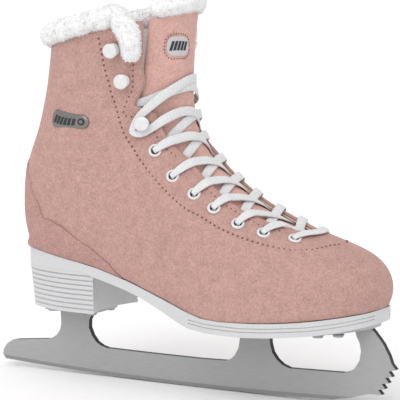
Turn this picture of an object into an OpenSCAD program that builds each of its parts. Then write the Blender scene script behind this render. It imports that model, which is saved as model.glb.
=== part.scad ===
// Figure skate, right foot: whole-cut suede boot with plush collar on a screwed-on steel blade.
// Frame: +X toe, +Y medial side, +Z up; origin where the rocker touches the ice, on the blade plane.

/* [Blade] */
// Blade thickness
blade_t = 4; // [3:0.1:5]
// Rocker radius of the runner
rocker_r = 2600; // [1800:50:3600]
// Mounting plate thickness
plate_t = 2; // [1.2:0.1:3]
// Half width of the heel plate
heel_plate_hw = 18; // [12:1:24]
// Half width of the sole plate
sole_plate_hw = 24; // [16:1:30]

/* [Heel and sole] */
// Height of the heel's underside over the ice
heel_z = 45.3; // [42:0.1:48]
// How far the sole edge stands out from the upper
welt = 1.4; // [0.5:0.1:3]
// Number of moulded ridges round the heel
heel_ridges = 9; // [5:1:12]
// Depth of the grooves between ridges
groove_d = 0.7; // [0.3:0.1:1.2]
// Taper of the heel from its top to its underside
heel_taper = 4; // [1:0.5:6]

/* [Upper] */
// Thickness of the suede shell
shell_t = 2.2; // [1.6:0.1:3]
// Depth of the facing under the eyelet rows
facing_d = 3.6; // [3:0.1:4]
// Outer depth of the lining
lining_d0 = 4.8; // [4.5:0.1:6]
// Inner depth of the lining
lining_d1 = 7.3; // [6:0.1:9]
// Depth of the tongue's face under the boot's surface
tongue_d = 5.5; // [5.2:0.1:7]
// Half gap kept at the back seam
seam_gap = 0.15; // [0.1:0.05:0.5]

/* [Lacing] */
// Lace width
lace_w = 6; // [4:0.5:9]
// Lace thickness
lace_t = 1.1; // [0.8:0.1:1.6]
// Eyelet flange diameter
eyelet_od = 8.6; // [7:0.1:11]
// Eyelet hole diameter
eyelet_id = 5.2; // [3.5:0.1:6]
// Hook head diameter
hook_head = 9.4; // [7:0.1:12]
// Hook height over the suede
hook_h = 7.6; // [5:0.1:10]

/* [Colours] */
// Suede
c_suede = [0.80, 0.63, 0.59]; // [0:0.01:1]
// Darker suede
c_suede2 = [0.74, 0.56, 0.52]; // [0:0.01:1]
// Plush
c_plush = [0.95, 0.95, 0.95]; // [0:0.01:1]
// Moulded sole
c_sole = [0.90, 0.90, 0.90]; // [0:0.01:1]
// Blade steel
c_steel = [0.66, 0.66, 0.67]; // [0:0.01:1]

/* [Hidden] */

// Section table from toe tip to collar: front point x,z; sole or back-seam point x,z;
// half width; half width at the sole; height share of the widest point; sideways centre.
ST = [
  [131, 60, 131, 60, 0, 0, .35, 8], [133.5, 72.5, 129, 59.6, 16, 15, .35, 7.5],
  [130.5, 84, 122, 58.6, 27, 26, .35, 6.5], [122, 92.5, 111, 57, 35.5, 34, .35, 5],
  [108, 99, 98, 55.4, 41, 39.5, .35, 3.5], [88, 105.5, 80, 53.8, 45, 43.5, .36, 2],
  [68, 113.5, 58, 52.8, 46, 44.5, .38, .5], [49, 124, 32, 53, 43.5, 41, .4, -1],
  [33, 136, 4, 60.5, 40, 35, .42, -1], [20, 148, -24, 69, 38, 31, .44, -.5],
  [11, 159.5, -52, 76.5, 37, 29.5, .46, 0], [6.5, 170, -80, 81.3, 36.5, 28.5, .48, 0],
  [4.5, 179, -103, 84, 36, 21, .5, 0], [4, 187, -114, 84.6, 36, 12, .5, 0],
  [3.5, 194, -118.5, 88, 36, 0, .5, 0], [3.5, 201, -122, 106, 36, 0, .5, 0],
  [4, 211, -120, 135, 35.5, 0, .5, 0], [4.5, 222, -110, 163, 35, 0, .5, 0],
  [5.5, 232, -103.5, 190, 36, 0, .5, 0], [6.5, 240, -100, 214, 37, 0, .5, 0],
  [7.5, 248, -98, 236, 37.5, 0, .5, 0]];
SN = len(ST) - 1;

function cr(a, b, c, d, f) = .5 * (2 * b + (c - a) * f + (2 * a - 5 * b + 4 * c - d) * f * f
  + (3 * b - a - 3 * c + d) * f * f * f);
function stat(s) = let(u = min(max(s, 0), SN), i = min(floor(u), SN - 1), f = u - i, b = ST[i],
  c = ST[i + 1], a = i > 0 ? ST[i - 1] : 2 * b - c, d = i + 2 <= SN ? ST[i + 2] : 2 * c - b)
  cr(a, b, c, d, f);
// Depth that never turns a narrow section inside out.
function soft(d, w) = w < .01 ? 0 : .9 * w * (1 - exp(-d / (.9 * w)));
// Boot surface: s runs from toe tip to collar, r from -1 (lateral edge) over 0 (front) to 1.
function P(s, r, d = 0) = let(q = stat(s), T = [q[0], q[1]], B = [q[2], q[3]], L = norm(T - B),
  e = L < .01 ? [0, 1] : (T - B) / L, fb = min(max((s - 12.5) / 1.5, 0), 1),
  T1 = T - e * soft(d, L * .67), B1 = B + e * d * fb, W = max(q[4], 0), w = max(q[5], 0),
  W1 = W - soft(d, W), w1 = w - soft(d, w), t = 1 - abs(r), c = cos(180 * t), n = sin(180 * t),
  h = t < .5 ? q[6] * (1 - c) : q[6] - (1 - q[6]) * c, y = t < .5 ? w1 + (W1 - w1) * n : W1 * n,
  g = s > 13.5 && t < .002 ? seam_gap : 0)
  [B1[0] + (T1[0] - B1[0]) * h - d * max(0, 1 - s / 2), q[7] + (r < 0 ? -1 : 1) * (y + g),
   B1[1] + (T1[1] - B1[1]) * h];
function unit(v) = v / norm(v);
function N(s, r) = let(a = P(s + .05, r) - P(s - .05, r), b = P(s, r + .01) - P(s, r - .01))
  unit(cross(b, a));

// Flap edge and eyelet-row reinforcement line as r over s.
EDGE = [[4.86, 0], [5.2, .07], [6, .113], [6.8, .145], [7.7, .163], [8.5, .17], [9.6, .172],
  [10.3, .197], [11, .212], [12.4, .225], [13.4, .234], [14.3, .262], [15.1, .312], [15.6, .285],
  [15.9, .275], [16.7, .295], [17.5, .3], [19, .31]];
STAY = [[4.5, .172], [5.1, .23], [5.9, .26], [6.8, .285], [7.8, .312], [8.9, .34], [12, .34],
  [15, .363], [16.4, .406], [17.4, .449], [19, .497]];
function edge(s) = s <= 4.86 ? 0 : lookup(s, EDGE);
function stay(s) = lookup(s, STAY);
EYE = [[10.99, .277], [9.54, .279], [8.5, .26], [7.68, .241], [6.78, .224], [6, .196], [5.16, .143]];
HOOK = [[18, .42], [16.46, .359], [13.27, .282]];

function range(a, b, n) = [for (i = [0:n]) a + (b - a) * i / n];
function proper(F) = [for (f = F) if (f[0] != f[1] && f[1] != f[2] && f[0] != f[2]) f];
function quad(a, b, c, d, flip) = flip ? [[a, c, b], [a, d, c]] : [[a, b, c], [a, c, d]];
function flat1(L) = [for (l = L) for (x = l) x];

// One curved sheet: f(i, j, k) gives the grid points, k 0 outside and 1 inside.
module sheet(n, m, f) {
  id = function (k, i, j) (k * (n + 1) + i) * (m + 1) + j;
  pts = [for (k = [0, 1]) for (i = [0:n]) for (j = [0:m]) f(i, j, k)];
  sides = flat1([for (k = [0, 1]) for (i = [0:n - 1]) for (j = [0:m - 1])
    quad(id(k, i, j), id(k, i, j + 1), id(k, i + 1, j + 1), id(k, i + 1, j), k == 1)]);
  ends = flat1([for (i = [0, n]) for (j = [0:m - 1])
    quad(id(0, i, j), id(1, i, j), id(1, i, j + 1), id(0, i, j + 1), i == n)]);
  rims = flat1([for (j = [0, m]) for (i = [0:n - 1])
    quad(id(0, i, j), id(0, i + 1, j), id(1, i + 1, j), id(1, i, j), j == m)]);
  polyhedron(pts, concat(sides, ends, rims), convexity = 8);
}
// Both halves of the boot as one sheet, welded over the toe (column m) or round the heel (column 0).
module wrap(ss, m, lo, hi, d0, d1, over_toe, pole = false) {
  n = len(ss) - 1;
  weld = [for (s = ss) over_toe ? hi(s) > .9999 : s > 13.99];
  wc = over_toe ? m : 0;
  id = function (h, k, i, j) pole && i == 0 ? k * (n + 1) * (m + 1)
    : ((h == 1 && j == wc && weld[i] ? 0 : h) * 2 + k) * (n + 1) * (m + 1) + i * (m + 1) + j;
  pt = function (h, k, s, j) let(t = lo(s) + (hi(s) - lo(s)) * j / m,
    p = P(s, (h == 0 ? -1 : 1) * (1 - t), k == 0 ? d0 : d1))
    !over_toe && s > 13.99 && j == 0 ? [p[0], 0, p[2]] : p;
  pts = [for (h = [0, 1]) for (k = [0, 1]) for (s = ss) for (j = [0:m]) pt(h, k, s, j)];
  sides = flat1([for (h = [0, 1]) for (k = [0, 1]) for (i = [0:n - 1]) for (j = [0:m - 1])
    quad(id(h, k, i, j), id(h, k, i, j + 1), id(h, k, i + 1, j + 1), id(h, k, i + 1, j), h == k)]);
  ends = flat1([for (h = [0, 1]) for (i = [0, n]) for (j = [0:m - 1])
    quad(id(h, 0, i, j), id(h, 1, i, j), id(h, 1, i, j + 1), id(h, 0, i, j + 1),
    (i == n) == (h == 1))]);
  rims = flat1([for (h = [0, 1]) for (j = [0, m]) for (i = [0:n - 1])
    if (!(j == wc && weld[i] && weld[i + 1]))
    quad(id(h, 0, i, j), id(h, 0, i + 1, j), id(h, 1, i + 1, j), id(h, 1, i, j),
    (j == m) == (h == 1))]);
  polyhedron(pts, proper(concat(sides, ends, rims)), convexity = 10);
}
// Tube of ring sections: f(i) gives the list of points of ring i.
module tube(n, m, f) {
  pts = [for (i = [0:n]) for (p = f(i)) p];
  side = flat1([for (i = [0:n - 1]) for (j = [0:m - 1])
    quad(i * m + j, i * m + (j + 1) % m, (i + 1) * m + (j + 1) % m, (i + 1) * m + j, true)]);
  polyhedron(pts, concat(side, [[for (j = [0:m - 1]) j]],
    [[for (j = [m - 1:-1:0]) n * m + j]]), convexity = 8);
}
// Stands a solid drawn along +Z on the boot's surface.
module on(s, r, d = 0) {
  n = N(s, r);
  translate(P(s, r, d))
    rotate([0, acos(n[2]), atan2(n[1], n[0])])
    children();
}

// Blade
blade_low = [for (x = [-143:13:104]) [x, rocker_r - sqrt(rocker_r * rocker_r - x * x)]];
blade_out = concat(blade_low, [[107, 3], [116, 4.6], [121.5, 6.4], [128, 8.2], [134, 8.2], [136.6, 8.4],
  [134, 11.2], [138.8, 12.3], [136.3, 15.2], [141.2, 16.2], [138.6, 19.3], [143.4, 20.2],
  [140.9, 23.4], [145.8, 24.8], [142.9, 28], [141, 33], [137, 40], [131.6, 46.4],
  [129, 49], [118, 46.6], [119, 43], [121.2, 39], [122, 34.2], [121.2, 28.4], [117.8, 23], [114, 20.6],
  [110.5, 19.6], [72.6, 18.6], [67.5, 20.4], [63.5, 23.4], [60.4, 27.5], [58.8, 33],
  [58.4, 42], [37.4, 42], [37.2, 34], [36.2, 28], [33.4, 23], [30.6, 20.4], [26.9, 19], [8, 18.4],
  [-29, 18.3], [-62, 18.5], [-66.5, 19.6], [-70.5, 21.8], [-74, 26], [-76.2, 31], [-76, 36],
  [-73.5, 41.2], [-72.5, heel_z - plate_t], [-98.6, heel_z - plate_t], [-98.2, 36], [-98, 32],
  [-99, 27.5], [-101.5, 24], [-105, 21.6], [-109, 20.4], [-134, 17.8], [-137.5, 17],
  [-141.5, 14.5], [-144.3, 11], [-145.2, 7]]);
// Underside line of the forefoot sole; the sole plate and the blade follow it.
sole_low = [[22, 45.4], [36, 44], [60, 43.8], [78, 44.7], [102, 46.6], [118, 48.9], [131, 51.4]];
function sole_under(x) = lookup(x, sole_low);
plate_hw = [[22, 12], [30, 20], [50, sole_plate_hw], [90, sole_plate_hw], [112, 18], [126, 11], [131, 6]];

module blade_runner() {
  color(c_steel)
  difference() {
    rotate([90, 0, 0])
      linear_extrude(blade_t, center = true)
      polygon(blade_out);
    rotate([90, 0, 0])
      linear_extrude(60, center = true)
      polygon(concat([[18, 45.4 - plate_t]], [for (p = sole_low) [p[0], p[1] - plate_t]],
      [[140, 53.4 - plate_t], [140, 60], [18, 60]]));
  }
}
heel_screws = [[-99, -10], [-99, 10], [-68, -11], [-68, 11]];
sole_screws = [[34, -13], [34, 13], [66, -17], [66, 17], [98, -15], [98, 15], [111, -13], [111, 13]];
module heel_plate() {
  color(c_steel)
  difference() {
    translate([0, 0, heel_z - plate_t])
      linear_extrude(plate_t)
      polygon([[-106, -9], [-101, -16], [-94, -heel_plate_hw], [-70, -heel_plate_hw], [-64, -14],
        [-63, -8], [-63, 8], [-64, 14], [-70, heel_plate_hw], [-94, heel_plate_hw], [-101, 16],
        [-106, 9]]);
    for (p = heel_screws)
      translate([p[0], p[1], heel_z - plate_t - 1])
      cylinder(h = plate_t + 2, r = 2.2, $fn = 48);
  }
}
module sole_plate() {
  color(c_steel)
  difference() {
    intersection() {
      rotate([90, 0, 0])
        linear_extrude(60, center = true)
        polygon(concat(sole_low,
          [for (i = [len(sole_low) - 1:-1:0]) [sole_low[i][0], sole_low[i][1] - plate_t]]));
      translate([0, 2, 30])
        linear_extrude(40)
        polygon(concat([for (p = plate_hw) [p[0], -p[1]]],
          [for (i = [len(plate_hw) - 1:-1:0]) [plate_hw[i][0], plate_hw[i][1]]]));
    }
    for (p = sole_screws)
      translate([p[0], p[1] + 2, 30])
      cylinder(h = 40, r = 2.2, $fn = 48);
  }
}
module screw(len) {
  translate([0, 0, -1.6])
    cylinder(h = 1.6, r1 = 3, r2 = 3.9, $fn = 48);
  translate([0, 0, -.1])
    cylinder(h = len, r = 1.9, $fn = 48);
}
module heel_plate_screws() {
  color([.75, .75, .77])
  for (p = heel_screws)
    translate([p[0], p[1], heel_z - plate_t])
    screw(14);
}
module sole_plate_screws() {
  color([.75, .75, .77])
  for (p = sole_screws)
    translate([p[0], p[1] + 2, sole_under(p[0]) - plate_t - .1
      - abs(sole_under(p[0] + 4) - sole_under(p[0] - 4)) / 2])
    screw(7);
}

// Sole and heel
function rim(a, b, n, e) = let(L = [for (s = range(a, b, n)) P(s, -1, -e)],
  M = [for (s = range(b, a, n)) P(s, 1, -e)])
  [for (p = concat([for (p = L) p], [for (p = M) p])) [p[0], p[1]]];
function top_line(a, b, n, dz) = [for (s = range(a, b, n)) let(q = stat(s)) [q[2], q[3] + dz]];
module outline(e, h, s0 = .15, s1 = 13.7, n = 36) {
  linear_extrude(h)
    polygon(rim(s0, s1, n, e));
}
module shank_blank(gap = 0) {
  rotate([90, 0, 0])
    linear_extrude(14 + 2 * gap, center = true)
    polygon(concat([for (s = [7.4:.3:11]) let(q = stat(s)) [q[2], q[3] - .3 + gap]],
      [for (s = [11:-.3:7.4]) let(q = stat(s)) [q[2], q[3] - 2 - gap]]));
}
arch_low = [[-57, 70.6], [-41, 67], [-30, 64.2], [-18, 60.6], [-6, 56], [6, 51.2], [15, 47.6]];
module heel_block() {
  pitch = (74 - heel_z) / heel_ridges;
  difference() {
    for (k = [0:heel_ridges - 1])
      translate([0, 0, heel_z + k * pitch])
      intersection() {
        union() {
          outline(welt - heel_taper * (1 - (k + .5) / heel_ridges), pitch - 1, 10, 13.7, 10);
          outline(welt - groove_d - heel_taper * (1 - (k + .5) / heel_ridges), pitch + .01, 10, 13.7, 10);
        }
        translate([-130, -50, -1])
          cube([76, 100, pitch + 2]);
      }
    translate([5, 0, heel_z - 1])
      cylinder(h = 40, r = 67, $fn = 96);
  }
}
module sole_unit() {
  color(c_sole)
  difference() {
    union() {
      intersection() {
        translate([0, 0, 40])
          outline(welt, 60);
        rotate([90, 0, 0])
          linear_extrude(140, center = true)
          polygon(concat(top_line(0, 13, 26, -.3), [[-121, 84.6], [-121, 73], [-62, 73]],
            arch_low, sole_low, [[134, 52.2]]));
      }
      heel_block();
    }
    difference() {
      for (z = [3.2, 5.4])
        rotate([90, 0, 0])
        linear_extrude(140, center = true)
        polygon(concat([for (p = sole_low) [p[0] + .2, p[1] + z]],
          [for (i = [len(sole_low) - 1:-1:0]) [sole_low[i][0] + .2, sole_low[i][1] + z + .5]]));
      translate([0, 0, 40])
        outline(welt - .6, 60, .15, 9);
    }
    shank_blank(.25);
    for (p = heel_screws)
      translate([p[0], p[1], heel_z - 1])
      cylinder(h = 16.4, r = 2.1, $fn = 48);
    for (p = sole_screws)
      translate([p[0], p[1] + 2, sole_under(p[0]) - 3])
      cylinder(h = 9.6, r = 2.1, $fn = 48);
  }
}
module shank() {
  color([.5, .5, .52])
  shank_blank();
}
module insole_board() {
  color([.62, .5, .38])
  intersection() {
    translate([0, 0, 40])
      outline(-8, 60, .6, 13);
    rotate([90, 0, 0])
      linear_extrude(140, center = true)
      polygon(concat(top_line(0, 13, 26, 0), top_line(13, 0, 26, 2.4)));
  }
}
module footbed() {
  color([.85, .84, .82])
  intersection() {
    translate([0, 0, 40])
      outline(-8.4, 60, .7, 12.8);
    rotate([90, 0, 0])
      linear_extrude(140, center = true)
      polygon(concat(top_line(0, 13, 26, 2.6), top_line(13, 0, 26, 6)));
  }
}

// Upper
shell_rows = concat([0, .12, .3, .55, .8], [for (s = [1.1:.35:4.6]) s], [4.86, 5.05, 5.25],
  [for (s = [5.5:.5:14]) s], [14.3, 14.7, 15.1, 15.6, 15.9, 16.3, 16.7, 17.2, 17.8, 18.4, 19]);
module holes() {
  for (g = [-1, 1]) {
    for (e = EYE)
      on(e[0], g * e[1])
      translate([0, 0, -8])
      cylinder(h = 12, r = eyelet_id / 2 + .55, $fn = 24);
    for (e = HOOK)
      on(e[0], g * e[1])
      translate([0, 0, -8])
      cylinder(h = 12, r = 1.9, $fn = 24);
  }
}
// The shell's edge steps back behind the plush tuft near the collar.
function shell_edge(s) = s < 16.8 ? edge(s) : lookup(s, [[16.8, .295], [17.2, .388], [17.8, .398], [18.4, .403],
  [19, .4]]);
module upper_shell() {
  color(c_suede)
  difference() {
    wrap(shell_rows, 12, function (s) 0, function (s) 1 - shell_edge(s), 0, shell_t, true, true);
    holes();
  }
}
module lining() {
  rows = concat([0, .2, .5, .9], [for (s = [1.4:.5:3.9]) s], [4, 4.2], [for (s = [4.6:.6:18.4]) s], [19]);
  color(c_plush)
  wrap(rows, 8, function (s) 0, function (s) s <= 4.01 ? 1 : .99 - lookup(s, [[4, .0], [4.5, .17],
    [5.1, .23], [5.9, .26], [6.8, .285], [7.8, .312], [8.9, .34], [12, .34], [15, .363],
    [16.4, .406], [17.4, .449], [19, .497]]), lining_d0, lining_d1, true, true);
}
module counter_cover() {
  color(c_suede2)
  wrap(concat([9.25, 9.5], [for (s = [9.8:.6:14]) s], [14.4, 14.8, 15.2, 15.6, 16, 16.3]), 6,
    function (s) 0, function (s) lookup(s, [[9.25, .03], [9.7, .17], [10.4, .238], [11.5, .289],
    [14.6, .283], [15.5, .223], [16.3, .06]]), -1.5, -.3, false);
}
module heel_stiffener() {
  color([.8, .78, .72])
  wrap([9.6, 10.2, 10.8, 11.4, 12, 12.6, 13.2, 13.6, 14, 14.5, 15, 15.4], 5, function (s) 0,
    function (s) lookup(s, [[9.6, .1], [10.4, .22], [11.5, .27], [14.6, .26], [15.4, .2]]),
    shell_t + .5, lining_d0 - .5, false);
}
module backstay() {
  color(c_suede2)
  wrap([16.5, 17.1, 17.7, 18.3, 18.9], 2, function (s) 0, function (s) .035, -1.5, -.3, false);
}
module toe_puff() {
  color([.82, .8, .75])
  sheet(8, 14, function (i, j, k) P(.7 + 2.6 * i / 8, .96 * (1 - 2 * j / 14),
    k == 0 ? shell_t + .45 : lining_d0 - .45));
}
module ankle_pad(g) {
  color([.9, .88, .84])
  sheet(7, 7, function (i, j, k) let(s = 15.8 + 3 * i / 7, a = .93, b = stay(s) + .02)
    P(s, g * (g > 0 ? a + (b - a) * j / 7 : b + (a - b) * j / 7),
    k == 0 ? shell_t + .45 : lining_d0 - .45));
}
module ankle_pad_lateral() {
  ankle_pad(-1);
}
module ankle_pad_medial() {
  ankle_pad(1);
}
module facing(g) {
  color([.86, .8, .74])
  difference() {
    sheet(26, 3, function (i, j, k) let(s = 5.2 + 13.7 * i / 26, a = stay(s) - .012,
      b = edge(s) + .014) P(s, g * (g > 0 ? a + (b - a) * j / 3 : b + (a - b) * j / 3),
      k == 0 ? shell_t + .45 : facing_d));
    holes();
    collar_roll(.3);
  }
}
module facing_lateral() {
  facing(-1);
}
module facing_medial() {
  facing(1);
}

// Plush roll: path points with their two radii.
collar_path = concat(
  [[P(17.25, -.345, -4.2), 3.6, 5], [P(17.9, -.35, -4), 5, 6.2], [P(18.6, -.365, -2.6), 6, 6.8]],
  [for (r = [-.4, -.48, -.57, -.67, -.77, -.87, -.95]) [P(19, r, 1.2) + [0, 0, 7.4], 7.6, 7]],
  [[P(19, -1, 1.2) + [0, 0, 7.4], 7.8, 7]],
  [for (r = [.95, .87, .77, .67, .57, .48, .4]) [P(19, r, 1.2) + [0, 0, 7.4], 7.6, 7]],
  [[P(18.6, .365, -2.6), 6, 6.8], [P(17.9, .35, -4), 5, 6.2], [P(17.25, .345, -4.2), 3.6, 5]]);
function ring(path, i, m, grow = 0) = let(n = len(path) - 1, a = path[max(i - 1, 0)][0],
  b = path[min(i + 1, n)][0], t = unit(b - a), c = path[i][0] + (i == 0 ? -t : i == n ? t : [0, 0, 0]) * grow,
  side = unit(cross(t, abs(t[2]) > .8 ? [t[2] > 0 ? 1 : -1, 0, .01] : [0, 0, 1])), up = cross(t, side))
  [for (j = [0:m - 1]) c + side * (path[i][1] + grow) * cos(360 * j / m)
    + up * (path[i][2] + grow) * sin(360 * j / m)];
module collar_roll(grow = 0) {
  tube(len(collar_path) - 1, 10, function (i) ring(collar_path, i, 10, grow));
}
module collar_plush() {
  color(c_plush)
  collar_roll();
}

// Tongue
function tongue_r(s) = lookup(s, [[4.5, .12], [5.1, .2], [5.9, .235], [6.8, .262], [7.8, .29],
  [8.9, .315], [12, .315], [13.5, .3], [15, .28], [16, .274], [19.4, .27]]);
hinge_s = 15.45;
function tongue_p(s, u, d) = P(s, u * tongue_r(s), d);
module tongue_part(a, b, d0, d1, n) {
  sheet(n, 10, function (i, j, k) let(u = 1 - 2 * j / 10, s0 = a + (a > 10 ? 1.1 * u * u : 0),
    s1 = b + (b < 17 ? 1.1 * u * u : 0)) tongue_p(s0 + (s1 - s0) * i / n, u, k == 0 ? d0 : d1));
}
module tongue_lower() {
  color(c_suede)
  tongue_part(4.5, hinge_s - .12, tongue_d, tongue_d + 1.7, 16);
}
module tongue_lower_pad() {
  color(c_plush)
  tongue_part(4.7, hinge_s - .14, tongue_d + 2, tongue_d + 5, 14);
}
module tongue_upper() {
  color(c_suede)
  tongue_part(hinge_s + .12, 18.95, tongue_d - .6, tongue_d + 1.1, 8);
}
module tongue_upper_pad() {
  color(c_plush)
  tongue_part(hinge_s + .16, 18.95, tongue_d + 1.4, tongue_d + 4.6, 8);
}
tongue_top = [for (u = [1:-.2:-1]) [tongue_p(19, u, tongue_d + 2) + [0, 0, 7.2],
  abs(u) > .9 ? 5.2 : 6.6, abs(u) > .9 ? 5 : 6.6]];
module tongue_plush() {
  color(c_plush)
  tube(len(tongue_top) - 1, 10, function (i) ring(tongue_top, i, 10));
}
module tongue_label() {
  color([.86, .86, .88])
  sheet(4, 8, function (i, j, k) P(16.9 + 1.15 * i / 4, -.02 - .18 * j / 8, tongue_d - .6 - (k == 0 ? 1.4 : .3)));
}
badge_xs = [-13.4, -12.9, -12, -10.8, -9, -4.5, 0, 4.5, 9, 10.8, 12, 12.9, 13.4];
function badge_hw(x) = abs(x) <= 9 ? 4.5 : sqrt(max(20.25 - pow(abs(x) - 9, 2), .6));
// Flat x (towards the toe) and y (up) laid on the lateral ankle.
function ankle(x, y, d) = let(s = 16.18, r = -.56, a = (P(s + .02, r) - P(s - .02, r)) / .04,
  b = (P(s, r + .005) - P(s, r - .005)) / .01, n = N(s, r), u = unit(cross([0, 0, 1], n)),
  w = unit(cross(n, u)), g = x * u + y * w, aa = a * a, bb = b * b, ab = a * b, k = aa * bb - ab * ab)
  P(s + (bb * (g * a) - ab * (g * b)) / k, r + (aa * (g * b) - ab * (g * a)) / k, d);
module ankle_badge() {
  color([.7, .7, .72])
  sheet(len(badge_xs) - 1, 4, function (i, j, k) let(x = badge_xs[i])
    ankle(x, badge_hw(x) * (j / 2 - 1), k == 0 ? -1.5 : -.3));
}

// Hooks, eyelets and lace
module hook_solid() {
  translate([0, 0, .15])
    cylinder(h = 1, r = 4.2, $fn = 48);
  translate([0, 0, -4.4])
    cylinder(h = hook_h + 4, r = 1.6, $fn = 48);
  translate([0, 0, .9])
    cylinder(h = 1.6, r1 = 3.4, r2 = 2.4, $fn = 48);
  translate([0, 0, .9])
    cylinder(h = hook_h - 2, r = 2.4, $fn = 48);
  translate([0, 0, hook_h - 2.2])
    cylinder(h = 1, r1 = 2.4, r2 = hook_head / 2, $fn = 48);
  translate([0, 0, hook_h - 1.2])
    cylinder(h = 1.2, r1 = hook_head / 2, r2 = hook_head / 2 - .8, $fn = 48);
}
module hooks(g) {
  color([.93, .93, .93])
  for (e = HOOK)
    on(e[0], g * e[1])
    hook_solid();
}
module hooks_lateral() {
  hooks(-1);
}
module hooks_medial() {
  hooks(1);
}
module eyelets(g) {
  color([.93, .93, .93])
  for (e = EYE)
    on(e[0], g * e[1])
    difference() {
      union() {
        translate([0, 0, .15])
          cylinder(h = .9, r1 = eyelet_od / 2, r2 = eyelet_od / 2 - .5, $fn = 48);
        translate([0, 0, -3.7])
          cylinder(h = 4.3, r = eyelet_id / 2 + .35, $fn = 48);
      }
      translate([0, 0, -5])
        cylinder(h = 8, r = eyelet_id / 2, $fn = 48);
    }
}
module eyelets_lateral() {
  eyelets(-1);
}
module eyelets_medial() {
  eyelets(1);
}

// Lace route: each stop is [s, r, depth, width]. A strand leaves eyelet i on top of its own flap
// and dives under the other flap to eyelet i + 1; g is the side it starts from.
function mix(a, b, f) = a + (b - a) * f;
// Step from the point at depth d to the true normal through a fitting.
function lean(s, r, d) = P(s, r) - d * N(s, r) - P(s, r, d);
function hole_stop(g, i, d, w) = concat([EYE[i][0], g * EYE[i][1], d, w], lean(EYE[i][0], g * EYE[i][1], d));
function strand(g, i, low) = let(a = EYE[i], b = EYE[i + 1], ra = g * a[1], rb = -g * b[1],
  at = function (f) [mix(a[0], b[0], f), mix(ra, rb, f)],
  fe = (a[1] - edge(a[0] - .3)) / (a[1] + b[1]), fo = 1 - (b[1] - edge(b[0] + .3)) / (a[1] + b[1]))
  [hole_stop(g, i, 1.4, 3.5), hole_stop(g, i, -1.3, 3.8), concat(at(fe * .45), [-2, 5.4]),
   concat(at(fe), [-1.5, lace_w]), concat(at(fe + .1), [low ? 1.6 : .6, lace_w]),
   concat(at(.5), [low ? 4.3 : 2.9, lace_w]), concat(at(fo - .1), [4.2, lace_w]), concat(at(fo), [4.5, 5.4]),
   concat(at(mix(fo, 1, .5)), [4.6, 4.8]), hole_stop(-g, i + 1, 4.2, 3.6)];
function back(L) = [for (i = [len(L) - 1:-1:0]) L[i]];
h3 = HOOK[2];
// Round a hook neck: down side in, up side out.
function turn(g) = [for (q = [[-.9, -.03, -1.7, 5], [-.75, .012, -2.6, 4.4], [-.05, .036, -3.6, 4],
  [.75, .016, -3, 4.4], [1, -.025, -1.9, 5.4]])
  concat([h3[0] + q[0], g * (h3[1] + q[1]), q[2], q[3]], lean(h3[0], g * h3[1], q[2]))];
lace_route = concat(
  [[15.6, -.33, 5.1, 3.4], [15.25, -.305, 4.4, 5], [15, -.27, 3.75, 5.6], [14.75, -.22, 3.4, 6],
   [14.2, -.05, 3.6, 6], [14.1, .1, 3.3, 6], [14.05, .2, -1.2, 6]],
  back(turn(1)), [[12.2, .19, -1.2, 6], [11.9, .1, 3, 6], [11.6, -.03, 4.3, 6], [11.2, -.16, 4.3, 6],
   [11.05, -.22, 4.6, 5], hole_stop(-1, 0, 4.2, 3.6)],
  strand(-1, 0, false), strand(1, 1, true), strand(-1, 2, false), strand(1, 3, true), strand(-1, 4, false),
  strand(1, 5, true),
  [hole_stop(-1, 6, 1.4, 3.5), hole_stop(-1, 6, -1.3, 3.8), [5, -.09, -1.9, 5.4], [4.86, -.03, -1.6, 6],
   [4.86, .03, -1.6, 6], [5, .09, -1.9, 5.4], hole_stop(1, 6, -1.3, 3.8), hole_stop(1, 6, 1.4, 3.5)],
  back(strand(-1, 5, false)), back(strand(1, 4, true)), back(strand(-1, 3, false)),
  back(strand(1, 2, true)), back(strand(-1, 1, false)), back(strand(1, 0, true)),
  [hole_stop(1, 0, 4.2, 3.6), [11.1, .21, 4.6, 5], [11.35, .14, 4.1, 6], [11.8, .02, 3, 6],
   [12.2, -.1, 2, 6], [12.3, -.2, -1.3, 6]],
  turn(-1), [[14.35, -.2, -1.3, 6], [14.5, -.12, 1.4, 6], [14.75, 0, 2.9, 6], [15, .16, 3.2, 6],
   [15.15, .25, 3.7, 5.6], [15.35, .3, 4.4, 5], [15.7, .33, 5.1, 3.4]]);
lace_stops = [for (q = lace_route) len(q) < 7 ? concat(q, [0, 0, 0]) : q];
lace_n = len(lace_stops) - 1;
function lace_q(i, f) = cr(lace_stops[max(i - 1, 0)], lace_stops[i], lace_stops[min(i + 1, lace_n)],
  lace_stops[min(i + 2, lace_n)], f);
lace_pts = concat([for (i = [0:lace_n - 1]) for (f = [0, .5]) lace_q(i, f)], [lace_stops[lace_n]]);
lace_xyz = [for (q = lace_pts) P(q[0], q[1], q[2]) + [q[4], q[5], q[6]]];
lace_m = len(lace_pts) - 1;
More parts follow.
